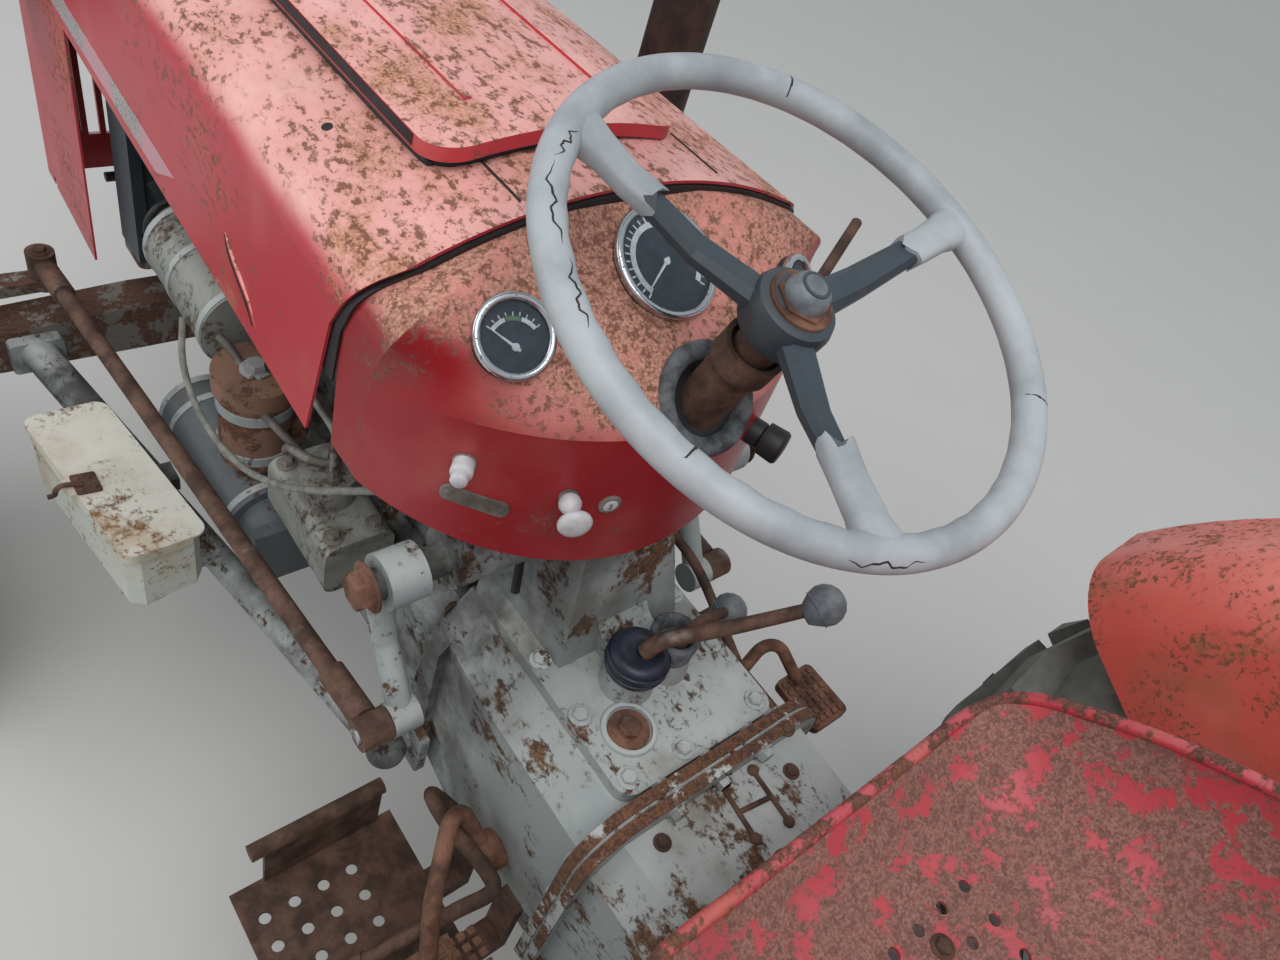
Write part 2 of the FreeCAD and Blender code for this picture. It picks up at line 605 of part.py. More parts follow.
def front_axle():
    """Arched beam with a kingpin boss at each end and a bore for the pivot pin."""
    body = new_body("front_axle")
    tip = "kingpin_spread / 2 - kingpin_boss_radius / 2"
    knee = "kingpin_spread * 0.2"
    corners = [
        (f"-({tip})", "beam_tip_top - beam_tip_depth"),
        (f"-({knee})", "beam_top - beam_depth"),
        (knee, "beam_top - beam_depth"),
        (tip, "beam_tip_top - beam_tip_depth"),
        (tip, "beam_tip_top"),
        (knee, "beam_top"),
        (f"-({knee})", "beam_top"),
        (f"-({tip})", "beam_tip_top"),
    ]
    pad(body, outline(body, "XZ_Plane", corners, "beam"), "beam_width", "beam")
    for side, sign in SIDES:
        ring = circle(body, "XY_Plane", "kingpin_boss_radius", f"boss_{side}", f"{sign} * kingpin_spread / 2")
        bind(ring, ".AttachmentOffset.Base.z", "boss_low")
        pad(body, ring, "boss_high - boss_low", f"boss_{side}", False)
    for side, sign in SIDES:
        bore = circle(body, "XY_Plane", "kingpin_radius + running_gap", f"bore_{side}",
                      f"{sign} * kingpin_spread / 2")
        bind(bore, ".AttachmentOffset.Base.z", "(boss_low + boss_high) / 2")
        pocket(body, bore, "boss_high - boss_low + 20", f"bore_{side}")
    middle = "beam_top - beam_depth / 2"
    pivot = circle(body, "XZ_Plane", "pivot_radius + running_gap", "pivot", "0", middle)
    pocket(body, pivot, "beam_width + 20", "pivot")
    return place(body, "0", "-wheelbase", "0")


def front_support():
    """Casting ahead of the engine: two lugs hold the axle's pivot pin, two ears the nose's hinge."""
    axle = -S.wheelbase
    half_slot = S.beam_width / 2 + S.running_gap
    lug_wall = 30
    roof = S.beam_top + S.clear_gap
    low = S.beam_top - S.beam_depth - 6
    profile = [
        (-S.nose_hinge_ahead + 34, S.nose_hinge_height + 2),
        (-S.nose_hinge_ahead + 34, S.radiator_bottom - 14),
        (-S.radiator_front, S.radiator_bottom),
        (-S.engine_front, S.radiator_bottom),
        (-S.engine_front, low + 10),
        (axle + half_slot + lug_wall + 40, low),
        (axle + half_slot, low),
        (axle + half_slot, roof),
        (axle - half_slot, roof),
        (axle - half_slot, low),
        (axle - half_slot - lug_wall, low),
        (axle - half_slot - lug_wall - 30, S.nose_hinge_height - 30),
    ]
    casting = side_plate(profile, -82, 82)
    pulley_space = box((-64, -S.engine_front - 66, 556), (64, -S.engine_front + 20, S.radiator_bottom + 20))
    casting = casting.cut(pulley_space)
    pin_height = S.beam_top - S.beam_depth / 2
    pin = rod(Vector(0, axle - half_slot - lug_wall - 14, pin_height),
              Vector(0, axle + half_slot + lug_wall, pin_height), S.pivot_radius)
    tray = rounded_box((-S.radiator_half_width, -S.radiator_front, S.radiator_bottom - 12),
                       (S.radiator_half_width, -S.radiator_rear, S.radiator_bottom), 12, Z_AXIS)
    hinge = cross_rod(S.nose_hinge_radius, -150, 150, -S.nose_hinge_ahead, S.nose_hinge_height)
    ears = [side_plate([(-S.nose_hinge_ahead - 16, S.nose_hinge_height - 14),
                        (-S.nose_hinge_ahead - 16, S.nose_hinge_height + 14),
                        (-S.nose_hinge_ahead + 50, S.nose_hinge_height + 30),
                        (-S.nose_hinge_ahead + 50, S.nose_hinge_height - 4)], low_x, low_x + 14)
            for low_x in (-64, 50)]
    return feature("front_support", fuse([casting, pin, tray, hinge] + ears))


def knuckle(side, sign):
    """Kingpin, stub axle and the arm that the drag link pulls."""
    x = S.kingpin_spread / 2
    y = -S.wheelbase
    axle_height = S.front_tyre_radius
    kingpin = rod(Vector(x, y, axle_height - 24), Vector(x, y, S.boss_high + 42), S.kingpin_radius)
    neck = rod(Vector(x, y, axle_height - 30), Vector(x, y, S.boss_low - S.running_gap), 30)
    hub_inner = S.front_track / 2 - S.front_hub_length / 2
    collar = cross_rod(S.kingpin_boss_radius - 5, x, hub_inner - S.running_gap, y, axle_height)
    stub = cross_rod(S.stub_radius, x, S.front_track / 2 + S.front_hub_length / 2 - 16, y, axle_height)
    arm_low = S.boss_high + S.running_gap
    cap = Part.makeCylinder(S.kingpin_boss_radius - 2, 34, Vector(x, y, arm_low))
    half = S.steer_arm_width / 2
    tip = x - S.steer_arm_length
    arm_bottom = arm_low + 6
    bar = floor_plate([(x, y - half), (x, y + half), (tip, y + half - 5), (tip, y - half + 5)],
                      arm_bottom, arm_bottom + S.steer_arm_wall)
    eye = Part.makeCylinder(half - 1, S.steer_arm_wall, Vector(tip, y, arm_bottom))
    shape = fuse([kingpin, neck, collar, stub, cap, bar, eye])
    if sign < 0:
        shape = mirrored(shape)
    return feature(f"knuckle_{side}", shape)


def steer_arm_top():
    return S.boss_high + S.running_gap + 6 + S.steer_arm_wall


def drop_arm(side, sign):
    """Swan-necked arm from the cross shaft down to the drag link's socket."""
    x = S.drop_arm_side
    top = Vector(x, -S.sector_ahead, S.sector_height)
    low = Vector(x, -S.drop_ball_ahead, S.drop_ball_height)
    drop = top.z - low.z
    path = [top, Vector(x, top.y - 34, top.z - drop * 0.26), Vector(x, top.y - 6, top.z - drop * 0.62), low]
    arm = bent_rod(path, 40, 14)
    boss = cross_rod(29, x - 20, x + 20, top.y, top.z)
    foot = cross_rod(20, x - 16, x + 16, low.y, low.z)
    pin = cross_rod(S.link_ball_radius, x, x + 54, low.y, low.z)
    shape = fuse([arm, boss, foot, pin])
    shape = shape.cut(cross_rod(S.sector_shaft_radius + S.running_gap, x - 60, x + 60, top.y, top.z))
    if sign < 0:
        shape = mirrored(shape)
    return feature(f"drop_arm_{side}", shape)


def drag_link(side, sign):
    """Long rod from the drop arm's pin to a head that sits on the steering arm's eye."""
    rear_x = S.drop_arm_side + 16 + S.running_gap + 18
    rear = Vector(rear_x, -S.drop_ball_ahead, S.drop_ball_height)
    front_x = S.kingpin_spread / 2 - S.steer_arm_length
    front = Vector(front_x, -S.wheelbase, steer_arm_top() + S.link_head_radius + 3)
    socket = cross_rod(S.link_head_radius, rear_x - 17, rear_x + 17, rear.y, rear.z)
    head = Part.makeCylinder(S.link_head_radius, 2 * S.link_head_radius,
                             Vector(front.x, front.y, steer_arm_top() + 3))
    bar = rod(rear, front, S.link_radius)
    along = front.sub(rear).normalize()
    sleeve_rear = rod(rear + along * 16, rear + along * 84, S.link_radius + 4)
    sleeve_front = rod(front - along * 84, front - along * 16, S.link_radius + 4)
    shape = fuse([socket, head, bar, sleeve_rear, sleeve_front])
    shape = shape.cut(cross_rod(S.link_ball_radius + S.running_gap, rear_x - 40, rear_x + 40, rear.y, rear.z))
    if sign < 0:
        shape = mirrored(shape)
    return feature(f"drag_link_{side}", shape)


def radius_rods():
    """Stays from the clutch housing to the front axle, with a thicker forged front part."""
    rear = Vector(S.rod_rear_side, -S.rod_rear_ahead, S.rod_rear_height)
    front = Vector(S.rod_front_side, -S.wheelbase + S.beam_width / 2 + 14, S.rod_front_height)
    along = front.sub(rear).normalize()
    bar = rod(rear, front, S.radius_rod_radius)
    thick = rod(front - along * 300, front, S.radius_rod_radius + 5)
    eye = ball(rear, 25)
    foot = rounded_box((front.x - 36, front.y - 14 + S.running_gap, front.z - 32),
                       (front.x + 36, front.y + 6, front.z + 22), 8, Y_AXIS)
    stud = cross_rod(14, S.bell_half_width + 6, rear.x, rear.y, rear.z)
    seat_side = S.bell_half_width + S.running_gap
    bracket = rounded_box((seat_side, rear.y - 32, rear.z - 40), (seat_side + 12, rear.y + 32, rear.z + 40),
                          8, X_AXIS)
    stays = both_sides(fuse([bar, thick, eye, foot, stud, bracket]))
    shelf_high = S.toolbox_bottom - S.running_gap
    shelf = [box((S.toolbox_side - 92, y - 18, shelf_high - 22), (S.toolbox_side + 30, y + 18, shelf_high))
             for y in (-S.toolbox_ahead - 70, -S.toolbox_ahead + 70)]
    return feature("radius_rods", fuse([stays] + shelf))


# Steering wheel and column

def on_column(distance, across=0, aside=0):
    """A point on or beside the column's axis, counted down from the wheel's centre."""
    tilt = math.radians(S.column_tilt)
    down = Vector(0, -math.sin(tilt), -math.cos(tilt))
    back = Vector(0, math.cos(tilt), -math.sin(tilt))
    centre = Vector(0, -S.wheel_ahead, S.wheel_height)
    return centre + down * distance + X_AXIS * across + back * aside


COLUMN_TURN = Rotation(X_AXIS, -S.column_tilt)


def steering_rim():
    ring = doc.addObject("Part::Torus", "steering_rim")
    ring.Label = "steering_rim"
    PARTS.append(ring)
    bind(ring, "Radius1", "wheel_rim_radius")
    bind(ring, "Radius2", "wheel_grip_radius")
    return place(ring, "0", "-wheel_ahead", "wheel_height", COLUMN_TURN)


def steering_spokes():
    """Three dished spokes, the hub and its domed nut, drawn about Z and then tilted."""
    reach = S.wheel_rim_radius
    drop = -S.wheel_dish
    hub = Part.makeCylinder(S.wheel_hub_radius, S.wheel_hub_height, Vector(0, 0, drop - S.wheel_hub_height / 2))
    washer = Part.makeCylinder(24, 5, Vector(0, 0, drop + S.wheel_hub_height / 2))
    nut = Part.makeCone(17, 12, 18, Vector(0, 0, drop + S.wheel_hub_height / 2 + 5))
    spokes = []
    for k in range(3):
        stations = [
            # reach, height, half width, half thickness
            (S.wheel_hub_radius - 8, drop, S.spoke_width / 2 + 2, 11),
            (reach * 0.42, drop + 4, S.spoke_width / 2, 8),
            (reach * 0.84, -7, S.spoke_width / 2 - 3, 7),
            (reach - 2, 0, S.spoke_width / 2 + 3, 7),
        ]
        sections = []
        for out, height, half, thick in stations:
            bevel = thick * 0.6
            ring = [Vector(out, -half, height - thick + bevel), Vector(out, -half + bevel, height - thick),
                    Vector(out, half - bevel, height - thick), Vector(out, half, height - thick + bevel),
                    Vector(out, half, height + thick - bevel), Vector(out, half - bevel, height + thick),
                    Vector(out, -half + bevel, height + thick), Vector(out, -half, height + thick - bevel)]
            sections.append(Part.Wire(polygon(ring)))
        spoke = Part.makeLoft(sections, True, True)
        spoke.rotate(Vector(0, 0, 0), Z_AXIS, 90 + S.spoke_turn + 120 * k)
        spokes.append(spoke)
    shape = fuse([hub, washer, nut] + spokes)
    shape = shape.cut(Part.makeTorus(reach, S.wheel_grip_radius))
    bore_low = drop - S.wheel_hub_height / 2
    shape = shape.cut(Part.makeCylinder(S.steering_shaft_radius + S.running_gap, S.wheel_hub_height,
                                        Vector(0, 0, bore_low)))
    shape.Placement = Placement(Vector(0, -S.wheel_ahead, S.wheel_height), COLUMN_TURN)
    return feature("steering_spokes", shape)


def column_foot():
    """Distance down the column at which it meets the steering box."""
    tilt = math.radians(S.column_tilt)
    return (S.wheel_height - S.sector_height - S.tower_rise) / math.cos(tilt)


def steering_column():
    hub_low = S.wheel_dish + S.wheel_hub_height / 2
    shaft = rod(on_column(hub_low + 6), on_column(S.wheel_dish - 4), S.steering_shaft_radius)
    tube = rod(on_column(column_foot()), on_column(hub_low + 34), S.column_radius)
    cone = rod(on_column(hub_low + 36), on_column(hub_low + 4), S.steering_shaft_radius + 8)
    return feature("steering_column", fuse([tube, cone, shaft]))


def hand_throttle():
    """Bent lever on the right of the column, under the steering wheel."""
    start = on_column(88, -S.column_radius + 8, 0)
    middle = on_column(74, -60, -16)
    end = on_column(66, -186, -83)
    lever = bent_rod([start, middle, end], 20, 5)
    clamp = rod(on_column(100), on_column(76), S.column_radius + 5)
    clamp = clamp.cut(rod(on_column(110), on_column(70), S.column_radius + S.running_gap))
    return feature("hand_throttle", fuse([lever, clamp]).cut(
        rod(on_column(110), on_column(60), S.column_radius + S.running_gap)))


def steering_box():
    """Pedestal on the gearbox: cross-shaft box in front, lever turret behind."""
    base_low = S.case_top + S.running_gap
    shaft_y = -S.sector_ahead
    base = rounded_box((-108, shaft_y - 20, base_low), (108, shaft_y + 272, base_low + 16), 20, Z_AXIS)
    low_ring = [(-84, shaft_y - 20), (84, shaft_y - 20), (84, shaft_y + 120), (-84, shaft_y + 120)]
    high_ring = [(-58, shaft_y - 34), (58, shaft_y - 34), (58, shaft_y + 80), (-58, shaft_y + 80)]
    top = S.sector_height + S.tower_rise
    tower = Part.makeLoft([Part.Wire(polygon([Vector(x, y, base_low + 10) for x, y in low_ring])),
                           Part.Wire(polygon([Vector(x, y, top) for x, y in high_ring]))], True, True)
    barrel = cross_rod(33, -168, 168, shaft_y, S.sector_height)
    shaft = cross_rod(S.sector_shaft_radius, -S.drop_arm_side - 32, S.drop_arm_side + 32, shaft_y,
                      S.sector_height)
    gusset = side_plate([(shaft_y + 30, base_low + 10), (shaft_y + 30, top - 24), (shaft_y + 118, base_low + 44),
                         (shaft_y + 210, base_low + 10)], -34, 34)
    turret_y = shaft_y + 165
    turrets = [Part.makeCone(32, 25, 40, Vector(x, turret_y, base_low + 8)) for x in (-24, 26)]
    collar = rod(on_column(column_foot() + 20), on_column(column_foot() - 26), S.column_radius + 12)
    shape = fuse([base, tower, barrel, shaft, gusset, collar] + turrets)
    shape = shape.cut(rod(on_column(column_foot()), on_column(column_foot() - 40),
                          S.column_radius + S.running_gap))
    return feature("steering_box", shape)


def gear_levers():
    """Main lever to the right rear and the short range lever, each out of a rubber boot."""
    turret_y = -S.sector_ahead + 165
    foot = S.case_top + S.running_gap + 48 + S.running_gap
    pieces = []
    levers = [
        # foot across, lever's bend and end (across, behind, above), knob radius
        (26, Vector(-10, turret_y + 14, foot + 62), Vector(-126, -735, 963), 21),
        (-24, Vector(-66, turret_y - 8, foot + 34), Vector(-112, turret_y - 50, foot + 86), 17),
    ]
    for across, bend, end, knob in levers:
        start = Vector(across, turret_y, foot)
        boot = Part.makeCone(24, 14, 34, start)
        lever = bent_rod([start + Vector(0, 0, 20), bend, end], 16, 7)
        pieces.append(fuse([boot, lever, ball(end, knob)]))
    return feature("gear_levers", Part.makeCompound(pieces))


# Engine and its fittings

def engine_block():
    """Plain block with sump, crankcase, cylinders, head and rocker cover."""
    front = -S.engine_front
    rear = -S.engine_rear
    half = S.engine_half_width
    crank = front_plate([(-half, 560), (-half + 24, 520), (half - 24, 520), (half, 560), (half, 730),
                         (half - 30, 770), (-half + 30, 770), (-half, 730)], front, rear)
    sump = front_plate([(-half + 34, 522), (-half + 48, S.sump_bottom), (half - 48, S.sump_bottom),
                        (half - 34, 522)], front + 30, rear - 20)
    block = box((-half + 34, front + 20, 760), (half - 34, rear - 20, S.head_top - 92))
    head = rounded_box((-half + 24, front + 10, S.head_top - 92), (half - 24, rear - 14, S.head_top), 12, Z_AXIS)
    cover = rounded_box((-66, front + 50, S.head_top), (66, rear - 50, S.rocker_top), 24, Y_AXIS)
    snout = Part.makeCylinder(S.fan_shaft_radius, 60, Vector(0, -S.fan_ahead - 4, S.fan_height), Y_AXIS)
    pump = Part.makeCylinder(44, 60, Vector(0, front - 40, S.fan_height), Y_AXIS)
    neck = box((-40, front - 20, S.fan_height - 40), (40, front + 20, S.fan_height + 40))
    pulley = Part.makeCylinder(55, 34, Vector(0, front - 44, 622), Y_AXIS)
    crankshaft = Part.makeCylinder(24, 60, Vector(0, front - 46, 622), Y_AXIS)
    outlet = Part.makeCylinder(30, 30, Vector(S.hose_side, front + 20, S.head_top - 4), Z_AXIS)
    return feature("engine_block", fuse([crank, sump, block, head, cover, snout, pump, neck, pulley, crankshaft,
                                         outlet]))


def fan():
    """Four twisted blades on a hub that turns on the water pump's shaft."""
    y = -S.fan_ahead
    hub = Part.makeCylinder(34, 22, Vector(0, y - 11, S.fan_height), Y_AXIS)
    blades = []
    for k in range(4):
        blade = box((26, y - 2, S.fan_height - 32), (S.fan_radius, y + 2, S.fan_height + 32))
        blade.rotate(Vector(0, y, S.fan_height), X_AXIS, 18)
        blade.rotate(Vector(0, y, S.fan_height), Y_AXIS, 90 * k + 20)
        blades.append(blade)
    shape = fuse([hub] + blades)
    return feature("fan", shape.cut(Part.makeCylinder(S.fan_shaft_radius + S.running_gap, 60,
                                                      Vector(0, y - 30, S.fan_height), Y_AXIS)))


def radiator():
    """Core between two side frames, with top tank, filler neck and the top hose."""
    half = S.radiator_half_width
    front = -S.radiator_front
    rear = -S.radiator_rear
    low = S.radiator_bottom + S.running_gap
    core = box((-half + 14, front + 8, low + 40), (half - 14, rear - 8, S.radiator_top - 60))
    bottom_tank = box((-half, front, low), (half, rear, low + 42))
    top_tank = rounded_box((-half, front, S.radiator_top - 62), (half, rear, S.radiator_top), 20, X_AXIS)
    frames = [box((x, front, low + 30), (x + 16, rear, S.radiator_top - 50)) for x in (-half, half - 16)]
    neck = Part.makeCylinder(24, 26, Vector(0, (front + rear) / 2, S.radiator_top - 4))
    cap = Part.makeCylinder(32, 10, Vector(0, (front + rear) / 2, S.radiator_top + 20))
    spout = Part.makeCylinder(S.hose_radius - 4, 34, Vector(S.hose_side, rear - 6, S.radiator_top - 32), Y_AXIS)
    return feature("radiator", fuse([core, bottom_tank, top_tank, neck, cap, spout] + frames))


def radiator_hose():
    """Top hose from the radiator's spout back to the outlet on the cylinder head."""
    spout_end = Vector(S.hose_side, -S.radiator_rear + 28, S.radiator_top - 32)
    outlet = Vector(S.hose_side, -S.engine_front + 20, S.head_top + 26)
    bend_top = Vector(outlet.x, outlet.y, spout_end.z)
    start = spout_end + Vector(0, S.running_gap - 20, 0)
    hose = bent_rod([start, bend_top, outlet + Vector(0, 0, S.running_gap)], 2 * S.hose_radius, S.hose_radius)
    spout = Part.makeCylinder(S.hose_radius - 4 + S.running_gap, 60, spout_end + Vector(0, -60, 0), Y_AXIS)
    return feature("radiator_hose", hose.cut(spout))


def exhaust():
    """Manifold on the right of the head, elbow, upright pipe and silencer."""
    side = -S.engine_half_width + 24
    front = -S.engine_front
    log = rod(Vector(side - 42, front + 80, S.head_top - 40), Vector(side - 42, -S.engine_rear - 90, S.head_top - 40),
              27)
    ports = [cross_rod(21, side - 42, side - S.running_gap, y, S.head_top - 40)
             for y in (front + 120, front + 320, -S.engine_rear - 130)]
    pipe_top = S.exhaust_top
    start = Vector(side - 42, -S.exhaust_ahead, S.head_top - 40)
    pipe = bent_rod([start, Vector(-S.exhaust_side, -S.exhaust_ahead, S.head_top - 40),
                     Vector(-S.exhaust_side, -S.exhaust_ahead, pipe_top)], 60, S.exhaust_pipe_radius)
    centre = Vector(-S.exhaust_side, -S.exhaust_ahead, 0)
    silencer = Part.makeCylinder(S.exhaust_radius, 520, centre + Vector(0, 0, 1086))
    low_cone = Part.makeCone(S.exhaust_pipe_radius, S.exhaust_radius, 30, centre + Vector(0, 0, 1056))
    high_cone = Part.makeCone(S.exhaust_radius, S.exhaust_pipe_radius, 30, centre + Vector(0, 0, 1606))
    shape = fuse([log, pipe, silencer, low_cone, high_cone] + ports)
    mouth = Part.makeCylinder(S.exhaust_pipe_radius - 3, 120, centre + Vector(0, 0, pipe_top - 110))
    return feature("exhaust", shape.cut(mouth))


def starter_motor():
    x = S.starter_side
    z = S.starter_height
    body = Part.makeCylinder(S.starter_radius, 220, Vector(x, -1530, z), Y_AXIS)
    cap = Part.makeCylinder(S.starter_radius - 8, 20, Vector(x, -1550, z), Y_AXIS)
    nose = Part.makeCylinder(S.starter_radius - 12, 60, Vector(x, -1310, z), Y_AXIS)
    flange = box((S.engine_half_width + S.running_gap, -1268, z - 48), (x + 44, -1250, z + 48))
    return feature("starter_motor", fuse([body, cap, nose, flange]))


def oil_filter():
    """Hanging bowl on a bracket that is bolted to the crankcase."""
    x = 190
    y = -1370
    bowl = Part.makeCylinder(S.filter_radius, 110, Vector(x, y, 700))
    dome = Part.makeCone(S.filter_radius - 14, S.filter_radius, 14, Vector(x, y, 686))
    head = Part.makeCylinder(S.filter_radius + 6, 26, Vector(x, y, 810))
    arm = box((S.engine_half_width + S.running_gap, y - 30, 720), (x, y + 30, 754))
    return feature("oil_filter", fuse([bowl, dome, head, arm]))


def injection_pump():
    """Pump body beside the crankcase with three outlet pipes to the head."""
    side = S.engine_half_width + S.running_gap
    y = -1190
    body = rounded_box((side, y - 70, 720), (side + 84, y + 80, 800), 16, Y_AXIS)
    turret = Part.makeCylinder(32, 40, Vector(side + 44, y, 796))
    head_side = S.engine_half_width - 24 + S.running_gap
    pipes = []
    for k, port_y in enumerate((-1412, -1300, -1090)):
        foot = Vector(side + 30 + 9 * k, y - 16 + 16 * k, 820)
        high = 884 + 10 * k
        pipes.append(bent_rod([foot, Vector(foot.x, foot.y, high), Vector(foot.x, port_y, high),
                               Vector(head_side, port_y, high)], 12, 4))
    return feature("injection_pump", fuse([body, turret] + pipes))


DYNAMO_MIDDLE = Vector(172, -1529, 842)


def dynamo():
    x, middle, z = DYNAMO_MIDDLE
    front = middle - 95
    body = Part.makeCylinder(S.dynamo_radius, 190, Vector(x, front, z), Y_AXIS)
    pulley = Part.makeCylinder(38, 22, Vector(x, front - 36, z), Y_AXIS)
    shaft = Part.makeCylinder(10, 40, Vector(x, front - 32, z), Y_AXIS)
    lug_plate = box((S.engine_half_width - 34 + S.running_gap, front + 34, z - 42), (x - 20, front + 64, z - 6))
    return feature("dynamo", fuse([body, pulley, shaft, lug_plate]))


def fuel_tank():
    low = S.tank_bottom
    tank = rounded_box((-184, -1580, low), (184, -1070, S.tank_top), 40, Y_AXIS)
    neck = Part.makeCylinder(34, 22, Vector(-20, -1300, S.tank_top - 6))
    cap = Part.makeCylinder(42, 14, Vector(-20, -1300, S.tank_top + 14))
    saddles = [box((-60, y, S.rocker_top + S.running_gap), (60, y + 40, low + 6)) for y in (-1540, -1160)]
    return feature("fuel_tank", fuse([tank, neck, cap] + saddles))


def engine_cable():
    """Thin stop cable from the dash round the engine's left side, held at both ends."""
    dynamo_side = DYNAMO_MIDDLE.x + S.dynamo_radius + S.running_gap
    route = [Vector(186, -1000, 1000), Vector(208, -1052, 958), Vector(228, -1112, 902), Vector(241, -1180, 844),
             Vector(249, -1254, 796), Vector(254, -1330, 774), Vector(256, -1398, 782), Vector(250, -1446, 808),
             Vector(dynamo_side + S.cable_radius, -1478, DYNAMO_MIDDLE.z)]
    edges = []
    start = route[0]
    radii = []
    for before, corner, after in zip(route, route[1:], route[2:]):
        arriving = corner.sub(before)
        leaving = after.sub(corner)
        shorter = min(arriving.Length, leaving.Length)
        arriving = arriving.normalize()
        leaving = leaving.normalize()
        turn = arriving.getAngle(leaving)
        bend = 0.45 * shorter / math.tan(turn / 2)
        radii.append(round(bend))
        enter = corner - arriving * (0.45 * shorter)
        leave = corner + leaving * (0.45 * shorter)
        inward = (leaving - arriving).normalize()
        middle = corner + inward * (bend / math.cos(turn / 2) - bend)
        edges.append(Part.LineSegment(start, enter).toShape())
        edges.append(Part.Arc(enter, middle, leave).toShape())
        start = leave
    edges.append(Part.LineSegment(start, route[-1]).toShape())
    print("engine cable bend radii, mm:", radii)
    path = Part.Wire(edges)
    ring = Part.Wire(Part.makeCircle(S.cable_radius, route[0], route[1].sub(route[0])))
    return feature("engine_cable", path.makePipeShell([ring], True, False))


# Gearbox, rear housing and lift

def gearbox_case():
    """Clutch housing that narrows to the gearbox, with its bolted flanges."""
    front = -S.engine_rear + S.running_gap
    rear = -S.flange_ahead - S.flange_wall / 2
    wide = S.bell_half_width
    narrow = S.case_half_width
    low = S.case_bottom
    top = S.case_top
    stations = [
        # behind, half width, low, top
        (front + 30, wide - 12, low + 12, top - 6),
        (front + 120, narrow + 18, low + 6, top),
        (rear, narrow + 18, low, top),
    ]
    rings = []
    for y, half, bottom, high in stations:
        rings.append(Part.Wire(polygon([Vector(-half, y, bottom + 40), Vector(-half + 40, y, bottom),
                                        Vector(half - 40, y, bottom), Vector(half, y, bottom + 40),
                                        Vector(half, y, high - 50), Vector(half - 34, y, high),
                                        Vector(-half + 34, y, high), Vector(-half, y, high - 50)])))
    case = Part.makeLoft(rings, True, True)
    flange = front_plate([(-wide, low + 60), (-wide + 50, low), (wide - 50, low), (wide, low + 60),
                          (wide, top - 70), (wide - 50, top - 4), (-wide + 50, top - 4), (-wide, top - 70)],
                         front, front + 30)
    rear_flange = case_flange(rear, -S.flange_ahead - S.running_gap)
    return feature("gearbox_case", fuse([case, flange, rear_flange]))


def case_flange(front, rear):
    """Bolted flange with round upper corners that stands proud of the castings."""
    half = S.housing_half_width + 4
    low = S.case_bottom - 6
    top = S.case_top + 26
    plate = box((-half, front, low), (half, rear, top))
    edges = [edge for edge in plate.Edges if abs(edge.tangentAt(edge.FirstParameter).dot(Y_AXIS)) > 0.9]
    return plate.makeFillet(70, edges)


def housing_floor(behind):
    """Height of the rear housing's underside between its last two sections."""
    share = (behind + 90) / (S.housing_rear + 90)
    return S.case_bottom - 6 + 36 * share


def rear_housing():
    """Differential housing with its axle tubes and brake back plates."""
    front = -S.flange_ahead
    rear = S.housing_rear
    half = S.housing_half_width - 8
    low = S.case_bottom
    top = S.housing_top
    stations = [
        # behind, half width, low, top
        (front + 10, half, low, top),
        (-210, half - 18, low, top),
        (-90, half, low - 6, top),
        (rear, half - 12, low + 30, top),
    ]
    rings = []
    for y, side, bottom, high in stations:
        rings.append(Part.Wire(polygon([Vector(-side, y, bottom + 50), Vector(-side + 50, y, bottom),
                                        Vector(side - 50, y, bottom), Vector(side, y, bottom + 50),
                                        Vector(side, y, high - 40), Vector(side - 30, y, high),
                                        Vector(-side + 30, y, high), Vector(-side, y, high - 40)])))
    case = Part.makeLoft(rings, True, True)
    flange = case_flange(front, front + S.flange_wall / 2)
    z = S.rear_tyre_radius
    tubes = []
    for sign in (1, -1):
        along = Vector(sign, 0, 0)
        start = Vector(sign * (half - 30), 0, z)
        length = S.trumpet_reach - half + 30
        tubes.append(Part.makeCone(S.trumpet_radius, S.trumpet_tip_radius, length, start, along))
        tubes.append(Part.makeCylinder(S.trumpet_radius + 24, 26, Vector(sign * (half - 12), 0, z), along))
        tubes.append(Part.makeCylinder(S.drum_radius + 40, 8, Vector(sign * (S.trumpet_reach - 8), 0, z), along))
        tubes.append(Part.makeCylinder(S.rear_shaft_radius, 60, Vector(sign * (S.trumpet_reach - 8), 0, z), along))
    pto_boss = Part.makeCylinder(60, 30, Vector(0, rear - 6, S.pto_height), Y_AXIS)
    pins = [cross_rod(17, sign * half if sign > 0 else -S.link_front_side - 34,
                      S.link_front_side + 34 if sign > 0 else -half, S.link_front_behind, S.link_front_height)
            for sign in (1, -1)]
    return feature("rear_housing", fuse([case, flange, pto_boss] + tubes + pins))


